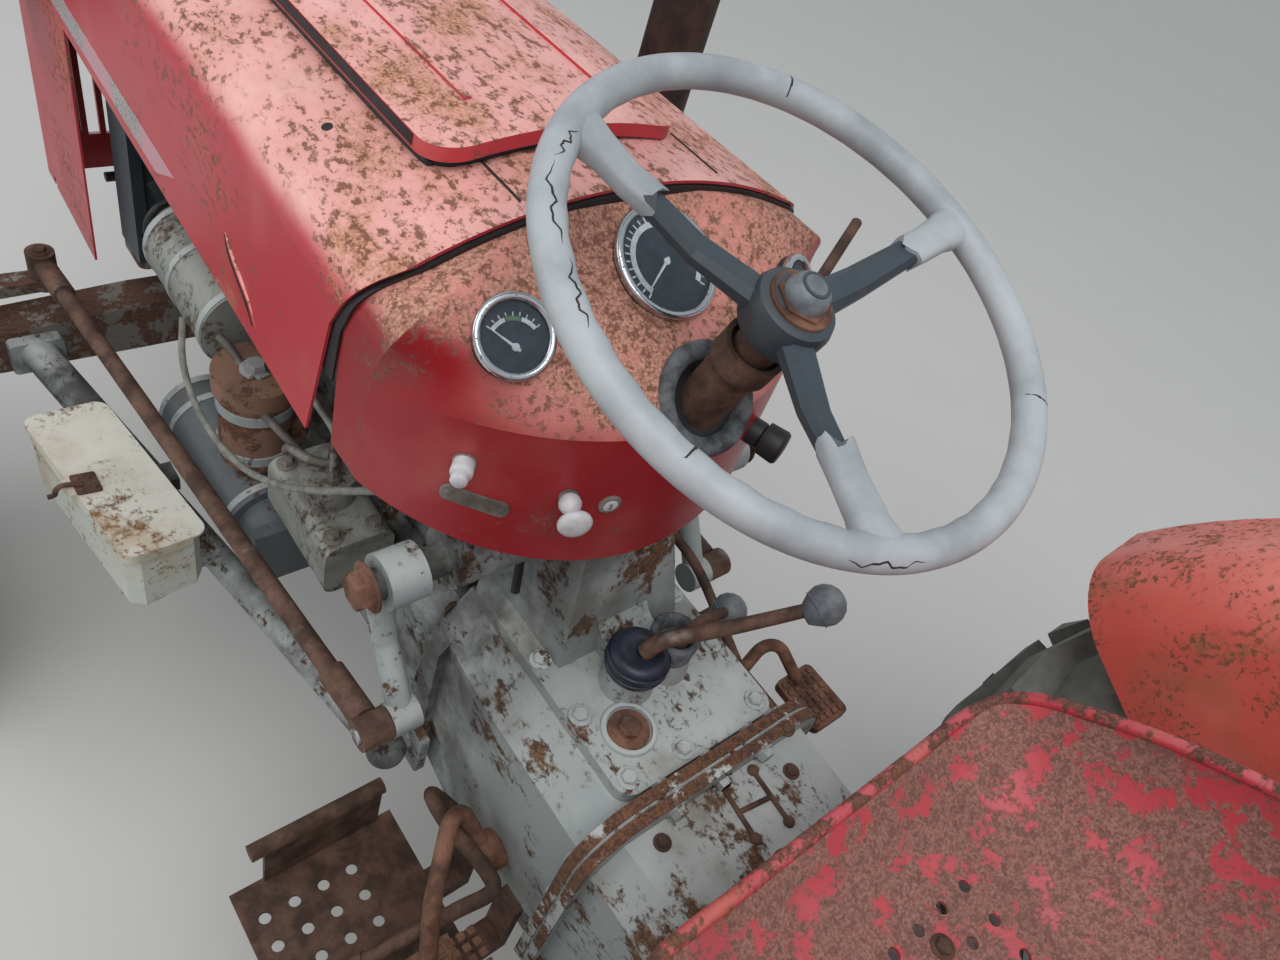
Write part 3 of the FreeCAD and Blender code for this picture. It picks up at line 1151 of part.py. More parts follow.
def lift_cover():
    """Cover of the hydraulic lift with its cross shaft and the top link's bracket."""
    low = S.housing_top + S.running_gap
    base = rounded_box((-150, -320, low), (150, 150, low + 20), 30, Z_AXIS)
    hump = Part.makeLoft([
        Part.Wire(polygon([Vector(x, y, low + 10) for x, y in ((-128, -290), (128, -290), (128, 132), (-128, 132))])),
        Part.Wire(polygon([Vector(x, y, S.lift_top)
                           for x, y in ((-100, -250), (100, -250), (104, 118), (-104, 118))])),
    ], True, True)
    y = S.lift_shaft_behind
    tube = cross_rod(44, -186, 186, y, S.lift_shaft_height)
    shaft = cross_rod(S.lift_shaft_radius, -252, 252, y, S.lift_shaft_height)
    ears = [side_plate([(100, low + 12), (100, S.lift_top), (190, S.lift_top + 4), (206, S.lift_top - 30),
                        (184, low + 4), (130, low + 4)], x, x + 16) for x in (-42, 26)]
    shape = fuse([base, hump, tube, shaft] + ears)
    return feature("lift_cover", shape.cut(cross_rod(S.top_link_bore, -60, 60, 176, S.lift_top - 24)))


def lift_arm_end():
    """Pin of the lift arms' rear ends, behind and above."""
    drop = math.radians(12)
    return (S.lift_shaft_behind + S.lift_arm_reach * math.cos(drop),
            S.lift_shaft_height - S.lift_arm_reach * math.sin(drop))


def lift_arms():
    """Two arms on one cross shaft, forked at their ends for the lift rods."""
    y = S.lift_shaft_behind
    z = S.lift_shaft_height
    end_y, end_z = lift_arm_end()
    arms = []
    for sign in (1, -1):
        low = 200 if sign > 0 else -240
        hub = cross_rod(44, low, low + 40, y, z)
        blade = side_plate([(y, z + 36), (end_y, end_z + 20), (end_y, end_z - 20), (y, z - 36)],
                           low + 10, low + 30)
        eye = cross_rod(22, low + 10, low + 30, end_y, end_z)
        pin = cross_rod(11, low + 10 if sign > 0 else low - 34, low + 74 if sign > 0 else low + 30, end_y, end_z)
        arm = fuse([hub, blade, eye, pin])
        arms.append(arm.cut(cross_rod(S.lift_shaft_radius + S.running_gap, low - 10, low + 50, y, z)))
    return feature("lift_arms", Part.makeCompound(arms))


def lower_links():
    """Draft links from the housing's pins to their rear balls."""
    front = Vector(S.link_front_side + 18, S.link_front_behind, S.link_front_height)
    end = Vector(S.link_end_side, S.link_reach - 30, S.link_end_height)
    half = S.link_bar_depth / 2
    wall = S.link_bar_wall
    bar = Part.makeLoft([
        Part.Wire(polygon([Vector(front.x - wall / 2, front.y + 10, front.z - 24),
                           Vector(front.x + wall / 2, front.y + 10, front.z - 24),
                           Vector(front.x + wall / 2, front.y + 10, front.z + 24),
                           Vector(front.x - wall / 2, front.y + 10, front.z + 24)])),
        Part.Wire(polygon([Vector(x, y, z) for x, y, z in (
            (316, 420, 452 - half), (316 + wall, 420, 452 - half), (316 + wall, 420, 452 + half),
            (316, 420, 452 + half))])),
        Part.Wire(polygon([Vector(end.x - wall / 2, end.y - 10, end.z - 24),
                           Vector(end.x + wall / 2, end.y - 10, end.z - 24),
                           Vector(end.x + wall / 2, end.y - 10, end.z + 24),
                           Vector(end.x - wall / 2, end.y - 10, end.z + 24)])),
    ], True, True)
    front_eye = cross_rod(33, front.x - 14, front.x + 14, front.y, front.z)
    rear_eye = cross_rod(30, end.x - 14, end.x + 14, end.y, end.z)
    joint = cross_rod(21, end.x - 22, end.x + 22, end.y, end.z)
    shape = fuse([bar, front_eye, rear_eye, joint])
    shape = shape.cut(cross_rod(17 + S.running_gap, front.x - 40, front.x + 40, front.y, front.z))
    shape = shape.cut(cross_rod(S.link_ball_bore, end.x - 60, end.x + 60, end.y, end.z))
    return feature("lower_links", both_sides(shape))


def lift_rods():
    """Rods that hang from the lift arms' pins beside the lower links."""
    end_y, end_z = lift_arm_end()
    x = 258
    top = Vector(x, end_y, end_z)
    low = Vector(x + 18, end_y + 44, 486)
    bar = rod(top, low, 12)
    along = low.sub(top).normalize()
    sleeve = rod(top + along * 90, top + along * 230, 18)
    head = cross_rod(24, x - 13, x + 13, end_y, end_z)
    foot = cross_rod(15, low.x - 12, low.x + 8, low.y, low.z)
    shape = fuse([bar, sleeve, head, foot])
    shape = shape.cut(cross_rod(11 + S.running_gap, x - 40, x + 40, end_y, end_z))
    return feature("lift_rods", both_sides(shape))


def drawbar():
    """Flat bar under the housing on two hangers."""
    z = S.drawbar_height
    bar = rounded_box((-36, -60, z - 16), (36, S.drawbar_reach, z + 16), 20, Z_AXIS)
    hangers = [box((-60, y, z + 16), (60, y + 24, housing_floor(y) - S.running_gap)) for y in (-40, 110)]
    bore = Part.makeCylinder(S.drawbar_bore, 80, Vector(0, S.drawbar_reach - 45, z - 40))
    return feature("drawbar", fuse([bar] + hangers).cut(bore))


def pto_shaft():
    body = new_body("pto_shaft")
    pad(body, circle(body, "XY_Plane", "pto_radius", "ring"), "pto_length", "shaft", False)
    turn = Rotation(X_AXIS, -90)
    return place(body, "0", "housing_rear + 24 + running_gap", "pto_height", turn)


# Bonnet, nose and grille

def shoulder_turn(shoulder, radius):
    """Angle from upright at which the bonnet's crown passes into its shoulder."""
    return math.asin((shoulder - radius) / (S.bonnet_crown - S.bonnet_shoulder))


def bonnet_ring(ahead, inset, low):
    """Section across the bonnet: straight sides, round shoulders and a crowned top."""
    share = (ahead - S.bonnet_rear) / (S.nose_front - S.bonnet_rear)
    half = S.bonnet_half_width - S.bonnet_taper * share - inset
    top = S.bonnet_top - S.bonnet_drop * share - inset
    lean = S.bonnet_lean
    radius = S.bonnet_shoulder - inset
    crown = S.bonnet_crown - inset
    shoulder = half - lean
    turn = shoulder_turn(shoulder, radius)
    side_top = top - crown + (crown - radius) * math.cos(turn)
    halfway = (turn + math.pi / 2) / 2
    y = -ahead

    def at(x, z):
        return Vector(x, y, z)

    crown_x = crown * math.sin(turn)
    crown_z = top - crown + crown * math.cos(turn)
    round_x = shoulder - radius + radius * math.sin(halfway)
    round_z = side_top + radius * math.cos(halfway)
    edges = [
        Part.LineSegment(at(half, low), at(shoulder, side_top)),
        Part.Arc(at(shoulder, side_top), at(round_x, round_z), at(crown_x, crown_z)),
        Part.Arc(at(crown_x, crown_z), at(0, top), at(-crown_x, crown_z)),
        Part.Arc(at(-crown_x, crown_z), at(-round_x, round_z), at(-shoulder, side_top)),
        Part.LineSegment(at(-shoulder, side_top), at(-half, low)),
        Part.LineSegment(at(-half, low), at(half, low)),
    ]
    return Part.Wire([edge.toShape() for edge in edges])


def bonnet_side_profile(inset):
    """Side view of bonnet and nose as a face, from the rear edge round the nose to the skirt."""
    rear = -S.bonnet_rear
    front = -S.nose_front + inset
    top = S.bonnet_top + 20
    round_top = S.bonnet_top - S.bonnet_drop - inset
    radius = S.nose_round - inset
    low = S.nose_bottom - 60 if inset else S.nose_bottom
    skirt = S.bonnet_skirt - 60 if inset else S.bonnet_skirt
    past = 40 if inset else 0
    rake_top = S.bonnet_top - S.bonnet_shoulder
    diagonal = radius * (1 - math.sqrt(0.5))
    face_top = round_top - radius
    lean = S.nose_lean * (face_top - low) / (face_top - S.nose_bottom)

    def at(y, z):
        return Vector(-600, y, z)

    edges = [
        Part.LineSegment(at(rear + past, top), at(front + radius, top)),
        Part.LineSegment(at(front + radius, top), at(front + radius, round_top)),
        Part.Arc(at(front + radius, round_top), at(front + diagonal, round_top - diagonal),
                 at(front, face_top)),
        Part.LineSegment(at(front, face_top), at(front + lean, low)),
        Part.LineSegment(at(front + lean, low), at(-S.nose_rear + past, low)),
        Part.LineSegment(at(-S.nose_rear + past, low), at(-S.nose_rear + past, skirt)),
        Part.LineSegment(at(-S.nose_rear + past, skirt), at(-S.bonnet_skirt_rear + past, skirt)),
        Part.LineSegment(at(-S.bonnet_skirt_rear + past, skirt),
                         at(-S.bonnet_rake_ahead + past, S.bonnet_rake_height)),
        Part.LineSegment(at(-S.bonnet_rake_ahead + past, S.bonnet_rake_height), at(rear + past, rake_top)),
        Part.LineSegment(at(rear + past, rake_top), at(rear + past, top)),
    ]
    return Part.Face(Part.Wire([edge.toShape() for edge in edges])).extrude(Vector(1200, 0, 0))


def bonnet_form(inset):
    low = S.nose_bottom - 80
    tube = Part.makeLoft([bonnet_ring(S.bonnet_rear - 60, inset, low), bonnet_ring(S.nose_front + 40, inset, low)],
                         True, True)
    return tube.common(bonnet_side_profile(inset))


def bonnet():
    """Pressed shell: open below and behind, with the lid's opening, grille opening and hinge tabs."""
    shell = bonnet_form(0).cut(bonnet_form(S.sheet_wall))
    margin = 22
    hole = rounded_box((-S.lid_right + margin, -S.lid_front + margin, S.bonnet_top - 90),
                       (S.lid_left - margin, -S.lid_rear - margin, S.bonnet_top + 40), 30, Z_AXIS)
    grille_hole = rounded_box((-S.grille_half_width, -S.nose_front - 40, S.grille_low),
                              (S.grille_half_width, -S.nose_front + 120, S.grille_high), 40, Y_AXIS)
    shell = shell.cut(hole).cut(grille_hole)
    pin_y = -S.nose_hinge_ahead
    pin_z = S.nose_hinge_height
    tabs = []
    for low_x in (-110, 96):
        tab = side_plate([(pin_y + 13, pin_z - 13), (pin_y + 13, pin_z + 13), (-S.nose_front + 16, pin_z + 26),
                          (-S.nose_front - 4, pin_z - 2)], low_x, low_x + 14)
        tabs.append(tab.common(bonnet_form(0)))
    shape = fuse([shell] + tabs)
    return feature("bonnet", shape.cut(cross_rod(S.nose_hinge_radius + S.running_gap, -300, 300, pin_y, pin_z)))


def grille():
    """Frame with upright bars behind the nose's opening."""
    half = S.grille_half_width + 14
    low = S.grille_low - 14
    high = S.grille_high + 14
    y = -S.nose_front + S.sheet_wall + S.running_gap
    frame = box((-half, y, low), (half, y + 8, high)).cut(
        box((-half + 24, y - 5, low + 24), (half - 24, y + 20, high - 24)))
    bars = []
    count = int((half - 30) // S.grille_pitch)
    for k in range(-count, count + 1):
        x = k * S.grille_pitch
        bars.append(box((x - S.grille_bar / 2, y + 1, low + 20), (x + S.grille_bar / 2, y + 9, high - 20)))
    shape = fuse([frame] + bars)
    face_top = S.bonnet_top - S.bonnet_drop - S.nose_round
    lean = math.degrees(math.atan(S.nose_lean / (face_top - S.nose_bottom)))
    shape.rotate(Vector(0, y, face_top), X_AXIS, lean)
    return feature("grille", shape)


def headlamps():
    """Round lamps on the nose's sides."""
    z = S.grille_high - 60
    y = -S.nose_front + 96
    share = (S.nose_front - 96 - S.bonnet_rear) / (S.nose_front - S.bonnet_rear)
    wall_low = S.nose_bottom - 80
    full = S.bonnet_half_width - S.bonnet_taper * share
    turn = shoulder_turn(full - S.bonnet_lean, S.bonnet_shoulder)
    side_fall = S.bonnet_crown - (S.bonnet_crown - S.bonnet_shoulder) * math.cos(turn)
    height_share = (z - wall_low) / (S.bonnet_top - S.bonnet_drop * share - side_fall - wall_low)
    wall = full - S.bonnet_lean * height_share
    x = wall + S.lamp_radius + 22
    lamp = Part.makeCylinder(S.lamp_radius, 40, Vector(x, y - 60, z), Y_AXIS)
    bowl = Part.makeCone(S.lamp_radius, 34, 66, Vector(x, y - 20, z), Y_AXIS)
    post = cross_rod(13, wall + 1, x, y + 6, z)
    return feature("headlamps", both_sides(fuse([lamp, bowl, post])))


def bonnet_lid():
    """Pressed lid with folded edges, hinged along its right edge and standing a little open."""
    left = S.lid_left
    right = -S.lid_right
    rear = -S.lid_rear
    front = -S.lid_front
    low = S.bonnet_top - 90
    high = S.bonnet_top + 60
    rise = S.lid_rise
    wall = S.sheet_wall
    outline = rounded_box((right, front, low), (left, rear, high), 34, Z_AXIS)
    inside = rounded_box((right + wall, front + wall, low - 5), (left - wall, rear - wall, high + 5), 31, Z_AXIS)
    tray = outline.common(bonnet_form(-rise)).cut(inside.common(bonnet_form(wall - rise)))
    beads = [box((x - 3, front + 60, low), (x + 3, rear - 60, high)).common(bonnet_form(-rise - 3))
             for x in (-52, 96)]
    shape = fuse([tray] + [bead.cut(bonnet_form(1 - rise)) for bead in beads]).cut(bonnet_form(-S.running_gap))
    hinge = Vector(right, rear, S.bonnet_top - right * right / (2 * S.bonnet_crown))
    shape.rotate(hinge, Y_AXIS, -S.lid_ajar)
    return feature("bonnet_lid", shape)


# Dash

def dash_ring(height, narrower, corner_shift, middle_shift, inset):
    """Level section of the dash: straight in front, an arc round the back."""
    half = S.dash_half_width - narrower - inset
    front = -S.dash_front - (40 if inset else 0)
    corner = -S.dash_corner - corner_shift - inset
    middle = -S.dash_bend_ahead - middle_shift - inset

    def at(x, y):
        return Vector(x, y, height)

    edges = [
        Part.LineSegment(at(half, front), at(half, corner)),
        Part.Arc(at(half, corner), at(0, middle), at(-half, corner)),
        Part.LineSegment(at(-half, corner), at(-half, front)),
        Part.LineSegment(at(-half, front), at(half, front)),
    ]
    return Part.Wire([edge.toShape() for edge in edges])


def dash_form(inset):
    """Cowl behind the bonnet: round in plan, upright below its bend and domed above it."""
    bend = S.dash_bend_height
    top = S.dash_top
    rows = [
        # height, half width less, side corners further ahead, middle further ahead
        (bend, 0, 0, 0),
        (bend + 12, 0, -2, 8),
        (bend + 44, 1, -18, 46),
        (bend + 78, 4, -20, 100),
        (top - 18, 12, 4, 140),
        (top, 30, 18, 160),
    ]
    dome = Part.makeLoft([dash_ring(height - inset, *row, inset) for height, *row in rows], True, False)
    below = 60 if inset else 0
    upright = Part.Face(dash_ring(S.dash_foot_height - 30, 0, 0, 0, inset)).extrude(
        Vector(0, 0, bend - inset - S.dash_foot_height + 30))
    front = -S.dash_front - 60
    rear = -S.dash_bend_ahead + 60
    foot = side_plate([(front, S.dash_side_foot - below), (-S.dash_corner, S.dash_side_foot - below),
                       (-S.dash_bend_ahead, S.dash_foot_height - below), (rear, S.dash_foot_height - below),
                       (rear, top + 60), (front, top + 60)], -400, 400)
    under = Part.Face(bonnet_ring(S.bonnet_rear, S.sheet_wall + S.strip_wall + inset, S.dash_foot_height - 90))
    under.translate(Vector(0, -140, 0))
    return fuse([dome, upright]).common(foot).common(under.extrude(Vector(0, 400, 0)))


def dash_shell():
    outer = dash_form(0)
    shell = outer.cut(dash_form(S.sheet_wall))
    bulkhead = outer.common(box((-400, -S.bonnet_rear, 900), (400, -S.bonnet_rear + S.sheet_wall, 1400)))
    tower_top = S.sector_height + S.tower_rise + S.running_gap
    foot_y = -S.sector_ahead - 34
    brackets = [side_plate([(-S.bonnet_rear, S.dash_side_foot + 60), (-S.bonnet_rear, S.dash_side_foot - 16),
                            (foot_y, tower_top), (foot_y + 34, tower_top), (foot_y + 34, tower_top + 10),
                            (-S.bonnet_rear + 10, S.dash_side_foot + 60)], low_x, low_x + 8)
                for low_x in (-52, 44)]
    tube = rod(on_column(330), on_column(40), S.column_radius + 14)
    return feature("dash_shell", fuse([shell, bulkhead] + brackets).cut(tube))


def on_dash(form, across, above):
    """Point and outward direction of the dash's rear face at a place across and above."""

    def reach(x, z):
        probe = Part.makeLine(Vector(x, -S.dash_corner - 40, z), Vector(x, 0, z))
        return form.common(probe).BoundBox.YMax

    slide = Vector(2, reach(across + 1, above) - reach(across - 1, above), 0)
    climb = Vector(0, reach(across, above + 1) - reach(across, above - 1), 2)
    return Vector(across, reach(across, above), above), climb.cross(slide).normalize()


GAUGES = [
    # across, above, radius
    (-4, 1227, S.gauge_radius),
    (157, 1203, S.small_gauge_radius),
    (-164, 1187, S.small_gauge_radius),
]


def gauges():
    """Three instruments with raised bezels on the dash's domed face."""
    form = dash_form(0)
    spared = dash_form(-S.running_gap)
    pieces = []
    for across, above, radius in GAUGES:
        foot, out = on_dash(form, across, above)
        rim = Part.makeCylinder(radius, 16, foot - out * 8, out)
        hollow = Part.makeCylinder(radius - 5, 6, foot + out * 4, out)
        pieces.append(rim.cut(hollow).cut(spared))
    return feature("gauges", Part.makeCompound(pieces))


def dash_collar():
    """Rubber ring where the column passes through the dash."""
    form = dash_form(0)
    crossing = form.common(Part.makeLine(on_column(330), on_column(20))).BoundBox.ZMax
    centre, out = on_dash(form, 0, crossing)
    ring = Part.makeCylinder(50, 18, centre - out * 9, out)
    lip = Part.makeCone(44, 32, 22, centre + out * 9, out)
    passage = rod(on_column(330), on_column(20), S.column_radius + S.running_gap)
    return feature("dash_collar", fuse([ring, lip]).cut(passage).cut(dash_form(-S.running_gap)))


def rubber_strip():
    """Black strip round the dash, on which the bonnet's raked rear edge rests."""
    rear = -S.bonnet_rear
    rake = -S.bonnet_rake_ahead
    top = S.bonnet_top + 20
    rake_top = S.bonnet_top - S.bonnet_shoulder
    low = S.bonnet_rake_height - 60
    band = side_plate([(rear - 14, top), (rear + 4, top), (rear + 4, rake_top), (rake + 12, S.bonnet_rake_height),
                       (rake + 4, low), (rake - 22, low), (rake - 14, S.bonnet_rake_height), (rear - 14, rake_top)],
                      -400, 400)
    strip = bonnet_form(S.sheet_wall + 1).cut(dash_form(-S.running_gap)).common(band)
    return feature("rubber_strip", strip)


DASH_CONTROLS = [
    # across, above, radius, length
    (192, 1095, 8, 26),
    (116, 1072, 12, 34),
    (77, 1059, 9, 8),
]


def dash_controls():
    """Push knob, pull knob and key socket on the dash's upright face."""
    form = dash_form(0)
    spared = dash_form(-S.running_gap)
    pieces = []
    for across, above, radius, length in DASH_CONTROLS:
        foot, out = on_dash(form, across, above)
        stem = Part.makeCylinder(radius * 0.55, length + 4, foot - out * 4, out)
        knob = Part.makeCylinder(radius, length * 0.4, foot + out * (length * 0.6), out)
        plate = Part.makeCylinder(radius, 6.5, foot - out * 4, out)
        pieces.append(fuse([stem, knob, plate]).cut(spared))
    return feature("dash_controls", Part.makeCompound(pieces))


# Driver's place

def footplates():
    """Steps on both sides of the gearbox, each with an upright front and a bracket."""
    z = S.foot_height
    plate = box((S.foot_inner, -S.foot_front, z - S.foot_wall), (S.foot_outer, -S.foot_rear, z))
    upright = box((S.foot_inner + 20, -S.foot_front, z - S.foot_wall), (S.foot_outer - 40, -S.foot_front + 5, z + 92))
    bar = cross_rod(10, S.foot_inner + 20, S.foot_outer - 24, -S.foot_front + 2, z + 98)
    inner = S.case_half_width + 18 + S.running_gap
    brackets = [box((inner, y, z - S.foot_wall - 30), (S.foot_inner + 60, y + 36, z - S.foot_wall + 1))
                for y in (-S.foot_front + 90, -S.foot_rear - 110)]
    pads = [box((inner, y, z - S.foot_wall - 30), (inner + 12, y + 36, z + 90))
            for y in (-S.foot_front + 90, -S.foot_rear - 110)]
    step = 36
    holes = [Part.makeCylinder(7, 20, Vector(x, -y, z - 12))
             for x in range(int(S.foot_inner) + 74, int(S.foot_outer) - 16, step)
             for y in range(int(S.foot_rear) + 30, int(S.foot_front) - 20, step)]
    step_plate = fuse([plate, upright, bar] + brackets + pads).cut(Part.makeCompound(holes))
    return feature("footplates", both_sides(step_plate))


def pedals():
    """Clutch pedal on the left and two brake pedals on the right."""
    seat_side = S.case_half_width + 18 + S.running_gap
    clutch_hub = cross_rod(24, seat_side, seat_side + 26, -800, 560)
    clutch = bent_rod([Vector(seat_side + 14, -800, 560), Vector(seat_side + 40, -850, 640),
                       Vector(seat_side + 110, -770, 620), Vector(seat_side + 130, -730, 560)], 24, 10)
    clutch_pad = box((seat_side + 96, -748, 548), (seat_side + 164, -672, 560))
    left = fuse([clutch_hub, clutch, clutch_pad])
    brake_hub = cross_rod(24, -seat_side - 60, -seat_side, -800, 560)
    pedals_right = [brake_hub]
    for across, ahead, high in ((-345, 742, 574), (-270, 690, 540)):
        pad_plate = rounded_box((across - 36, -ahead - 44, high), (across + 36, -ahead + 44, high + 12), 10, Z_AXIS)
        arm = bent_rod([Vector(-seat_side - 30, -800, 560), Vector(across + 30, -ahead - 90, 650),
                        Vector(across, -ahead - 20, high + 4)], 30, 9)
        pedals_right += [pad_plate, arm]
    return feature("pedals", Part.makeCompound([left, fuse(pedals_right)]))


def seat_ring(y, half, middle, edge, wall):
    """Section across the seat: flat floor, arcs up to both edges, one sheet thick."""
    floor = half * 0.5
    belly = (half - floor) * 0.3

    def at(x, z):
        return Vector(x, y, z)

    edges = [
        Part.LineSegment(at(-floor, middle), at(floor, middle)),
        Part.Arc(at(floor, middle), at(half - belly, middle + (edge - middle) * 0.34), at(half, edge)),
        Part.LineSegment(at(half, edge), at(half - wall, edge)),
        Part.Arc(at(half - wall, edge), at(half - belly - wall, middle + wall * 0.6 + (edge - middle) * 0.34),
                 at(floor, middle + wall)),
        Part.LineSegment(at(floor, middle + wall), at(-floor, middle + wall)),
        Part.Arc(at(-floor, middle + wall),
                 at(-half + belly + wall, middle + wall * 0.6 + (edge - middle) * 0.34), at(-half + wall, edge)),
        Part.LineSegment(at(-half + wall, edge), at(-half, edge)),
        Part.Arc(at(-half, edge), at(-half + belly, middle + (edge - middle) * 0.34), at(-floor, middle)),
    ]
    return Part.Wire([edge.toShape() for edge in edges])


def seat_pan():
    """Pressed pan: sections from the rolled front edge up the sides and the back, with drain holes."""
    front = -S.seat_front
    rear = -S.seat_rear
    wide = S.seat_half_width
    low = S.seat_height
    floor = low - S.seat_sink
    back = S.seat_back_height
    wall = 4
    rows = [
        # behind, half width, height of the middle, height of the edges
        (front, wide - 24, low + 8, low + 16),
        (front + 24, wide + 8, low - 8, low + 48),
        (front + 80, wide + 16, floor, low + 92),
        (front + 150, wide + 18, floor, low + 138),
        (front + 240, wide + 12, floor + 4, low + 184),
        (front + 330, wide - 8, floor + 40, back - 22),
        (rear - 40, wide - 50, floor + 110, back - 8),
        (rear, wide - 104, back - 26, back),
    ]
    pan = Part.makeLoft([seat_ring(*row, wall) for row in rows], True, False)
    holes = [Part.makeCylinder(6, 60, Vector(x, y, floor - 30))
             for x in (-90, -54, -18, 18, 54, 90) for y in (front + 110, front + 146, front + 182)]
    slot = box((-34, front + 226, floor - 30), (34, front + 238, floor + 60))
    return feature("seat_pan", pan.cut(Part.makeCompound(holes)).cut(slot))


def seat_bracket():
    """Flat spring from the lift cover up to the seat."""
    floor = S.seat_height - S.seat_sink
    y = -S.seat_front + 140
    leaf_low = S.lift_top + S.running_gap
    leaf = box((-36, y, leaf_low), (36, -150, leaf_low + 9))
    post = box((-30, y + 8, leaf_low), (30, y + 100, floor - S.running_gap))
    return feature("seat_bracket", fuse([leaf, post]))


def mudguards():
    """Shell over each rear wheel: flat inner side, round edge and a top band."""
    wall = S.sheet_wall
    outer = S.guard_radius
    low = 330
    inner_x = S.guard_inner
    reach = S.guard_reach
    bend = S.guard_round
    z = S.rear_tyre_radius
    diagonal = bend * (1 - math.sqrt(0.5))
    inner_diagonal = (bend - wall) * (1 - math.sqrt(0.5))

    def at(x, radius):
        return Vector(x, radius, z)

    edges = [
        Part.LineSegment(at(inner_x, low), at(inner_x, outer - bend)),
        Part.Arc(at(inner_x, outer - bend), at(inner_x + diagonal, outer - diagonal), at(inner_x + bend, outer)),
        Part.LineSegment(at(inner_x + bend, outer), at(reach, outer)),
        Part.LineSegment(at(reach, outer), at(reach, outer - wall)),
        Part.LineSegment(at(reach, outer - wall), at(inner_x + bend, outer - wall)),
        Part.Arc(at(inner_x + bend, outer - wall),
                 at(inner_x + wall + inner_diagonal, outer - wall - inner_diagonal),
                 at(inner_x + wall, outer - bend)),
        Part.LineSegment(at(inner_x + wall, outer - bend), at(inner_x + wall, low)),
        Part.LineSegment(at(inner_x + wall, low), at(inner_x, low)),
    ]
    section = Part.Face(Part.Wire([edge.toShape() for edge in edges]))
    start = 10
    sweep = 142
    section.rotate(Vector(0, 0, z), X_AXIS, start)
    shell = section.revolve(Vector(0, 0, z), X_AXIS, sweep)
    above_drum = z + S.drum_radius + 10
    bracket = side_plate([(-90, above_drum), (-230, z + low), (230, z + low), (90, above_drum)],
                         S.trumpet_reach + S.running_gap, inner_x)
    return feature("mudguards", both_sides(fuse([shell, bracket])))


# Toolbox

def toolbox_place(piece, above):
    turn = Rotation(Z_AXIS, S.toolbox_turn)
    return place(piece, "toolbox_side", "-toolbox_ahead", above, turn)


def toolbox():
    """Sheet-metal box with round corners, open at the top."""
    body = new_body("toolbox")
    half_x = "toolbox_width / 2"
    half_y = "toolbox_length / 2"
    cut = "14"
    corners = [
        (half_x, f"-({half_y}) + {cut}"), (half_x, f"{half_y} - {cut}"),
        (f"{half_x} - {cut}", half_y), (f"-({half_x}) + {cut}", half_y),
        (f"-({half_x})", f"{half_y} - {cut}"), (f"-({half_x})", f"-({half_y}) + {cut}"),
        (f"-({half_x}) + {cut}", f"-({half_y})"), (f"{half_x} - {cut}", f"-({half_y})"),
    ]
    pad(body, outline(body, "XY_Plane", corners, "outside"), "toolbox_height", "outside", False)
    inner = [(f"({first}) * (1 - 2 * box_wall / toolbox_width)", f"({second}) * (1 - 2 * box_wall / toolbox_length)")
             for first, second in corners]
    hollow = outline(body, "XY_Plane", inner, "inside")
    bind(hollow, ".AttachmentOffset.Base.z", "toolbox_height + box_wall")
    pocket(body, hollow, "2 * toolbox_height", "inside")
    return toolbox_place(body, "toolbox_bottom")


def toolbox_lid():
    """Lid with a turned-down edge, hinged on the tractor's side and standing a little open."""
    half_x = S.toolbox_width / 2 + S.box_wall + 1
    half_y = S.toolbox_length / 2 + S.box_wall + 1
    rise = S.box_lid_rise
    outer = rounded_box((-half_x, -half_y, -8), (half_x, half_y, rise), 16, Z_AXIS)
    wall = S.box_wall
    inner = rounded_box((-half_x + wall, -half_y + wall, -20), (half_x - wall, half_y - wall, rise - wall), 13,
                        Z_AXIS)
    open_back = box((-half_x - 1, -half_y - 1, -20), (-half_x + 20, half_y + 1, rise - wall))
    shape = outer.cut(inner).cut(open_back)
    hasp = box((half_x - 1, -14, -6), (half_x + 6, 14, 6))
    shape = fuse([shape, hasp])
    shape.rotate(Vector(-half_x, 0, 0), Y_AXIS, -S.box_lid_ajar)
    shape.rotate(Vector(0, 0, 0), Z_AXIS, S.toolbox_turn)
    shape.translate(Vector(S.toolbox_side, -S.toolbox_ahead,
                           S.toolbox_bottom + S.toolbox_height + S.box_wall - rise + S.running_gap))
    return feature("toolbox_lid", shape)


def build():
    for side, sign in SIDES:
        rear_wheel(side, sign)
        rear_tyre(side, sign)
        front_wheel(side, sign)
        front_tyre(side, sign)
        knuckle(side, sign)
        drop_arm(side, sign)
        drag_link(side, sign)
    front_axle()
    front_support()
    radius_rods()
    steering_rim()
    steering_spokes()
    steering_column()
    hand_throttle()
    steering_box()
    gear_levers()
    engine_block()
    fan()
    radiator()
    radiator_hose()
    exhaust()
    starter_motor()
    oil_filter()
    injection_pump()
    dynamo()
    fuel_tank()
    engine_cable()
    gearbox_case()
    rear_housing()
    lift_cover()
    lift_arms()
    lower_links()
    lift_rods()
    drawbar()
    pto_shaft()
    bonnet()
    grille()
    headlamps()
    bonnet_lid()
    dash_shell()
    gauges()
    dash_collar()
    rubber_strip()
    dash_controls()
    footplates()
    pedals()
    seat_pan()
    seat_bracket()
    mudguards()
    toolbox()
    toolbox_lid()


def check():
    """Stops before anything is written if an object failed or a shape is not sound."""
    faults = []
    for item in doc.Objects:
        if "Invalid" in item.State or "Error" in item.State:
            faults.append(f"{item.Label}: {item.State}")
    for piece in PARTS:
        if piece.Shape.isNull() or not piece.Shape.isValid() or not piece.Shape.Solids:
            faults.append(f"{piece.Label}: no sound solid")
    if faults:
        raise RuntimeError("; ".join(faults))


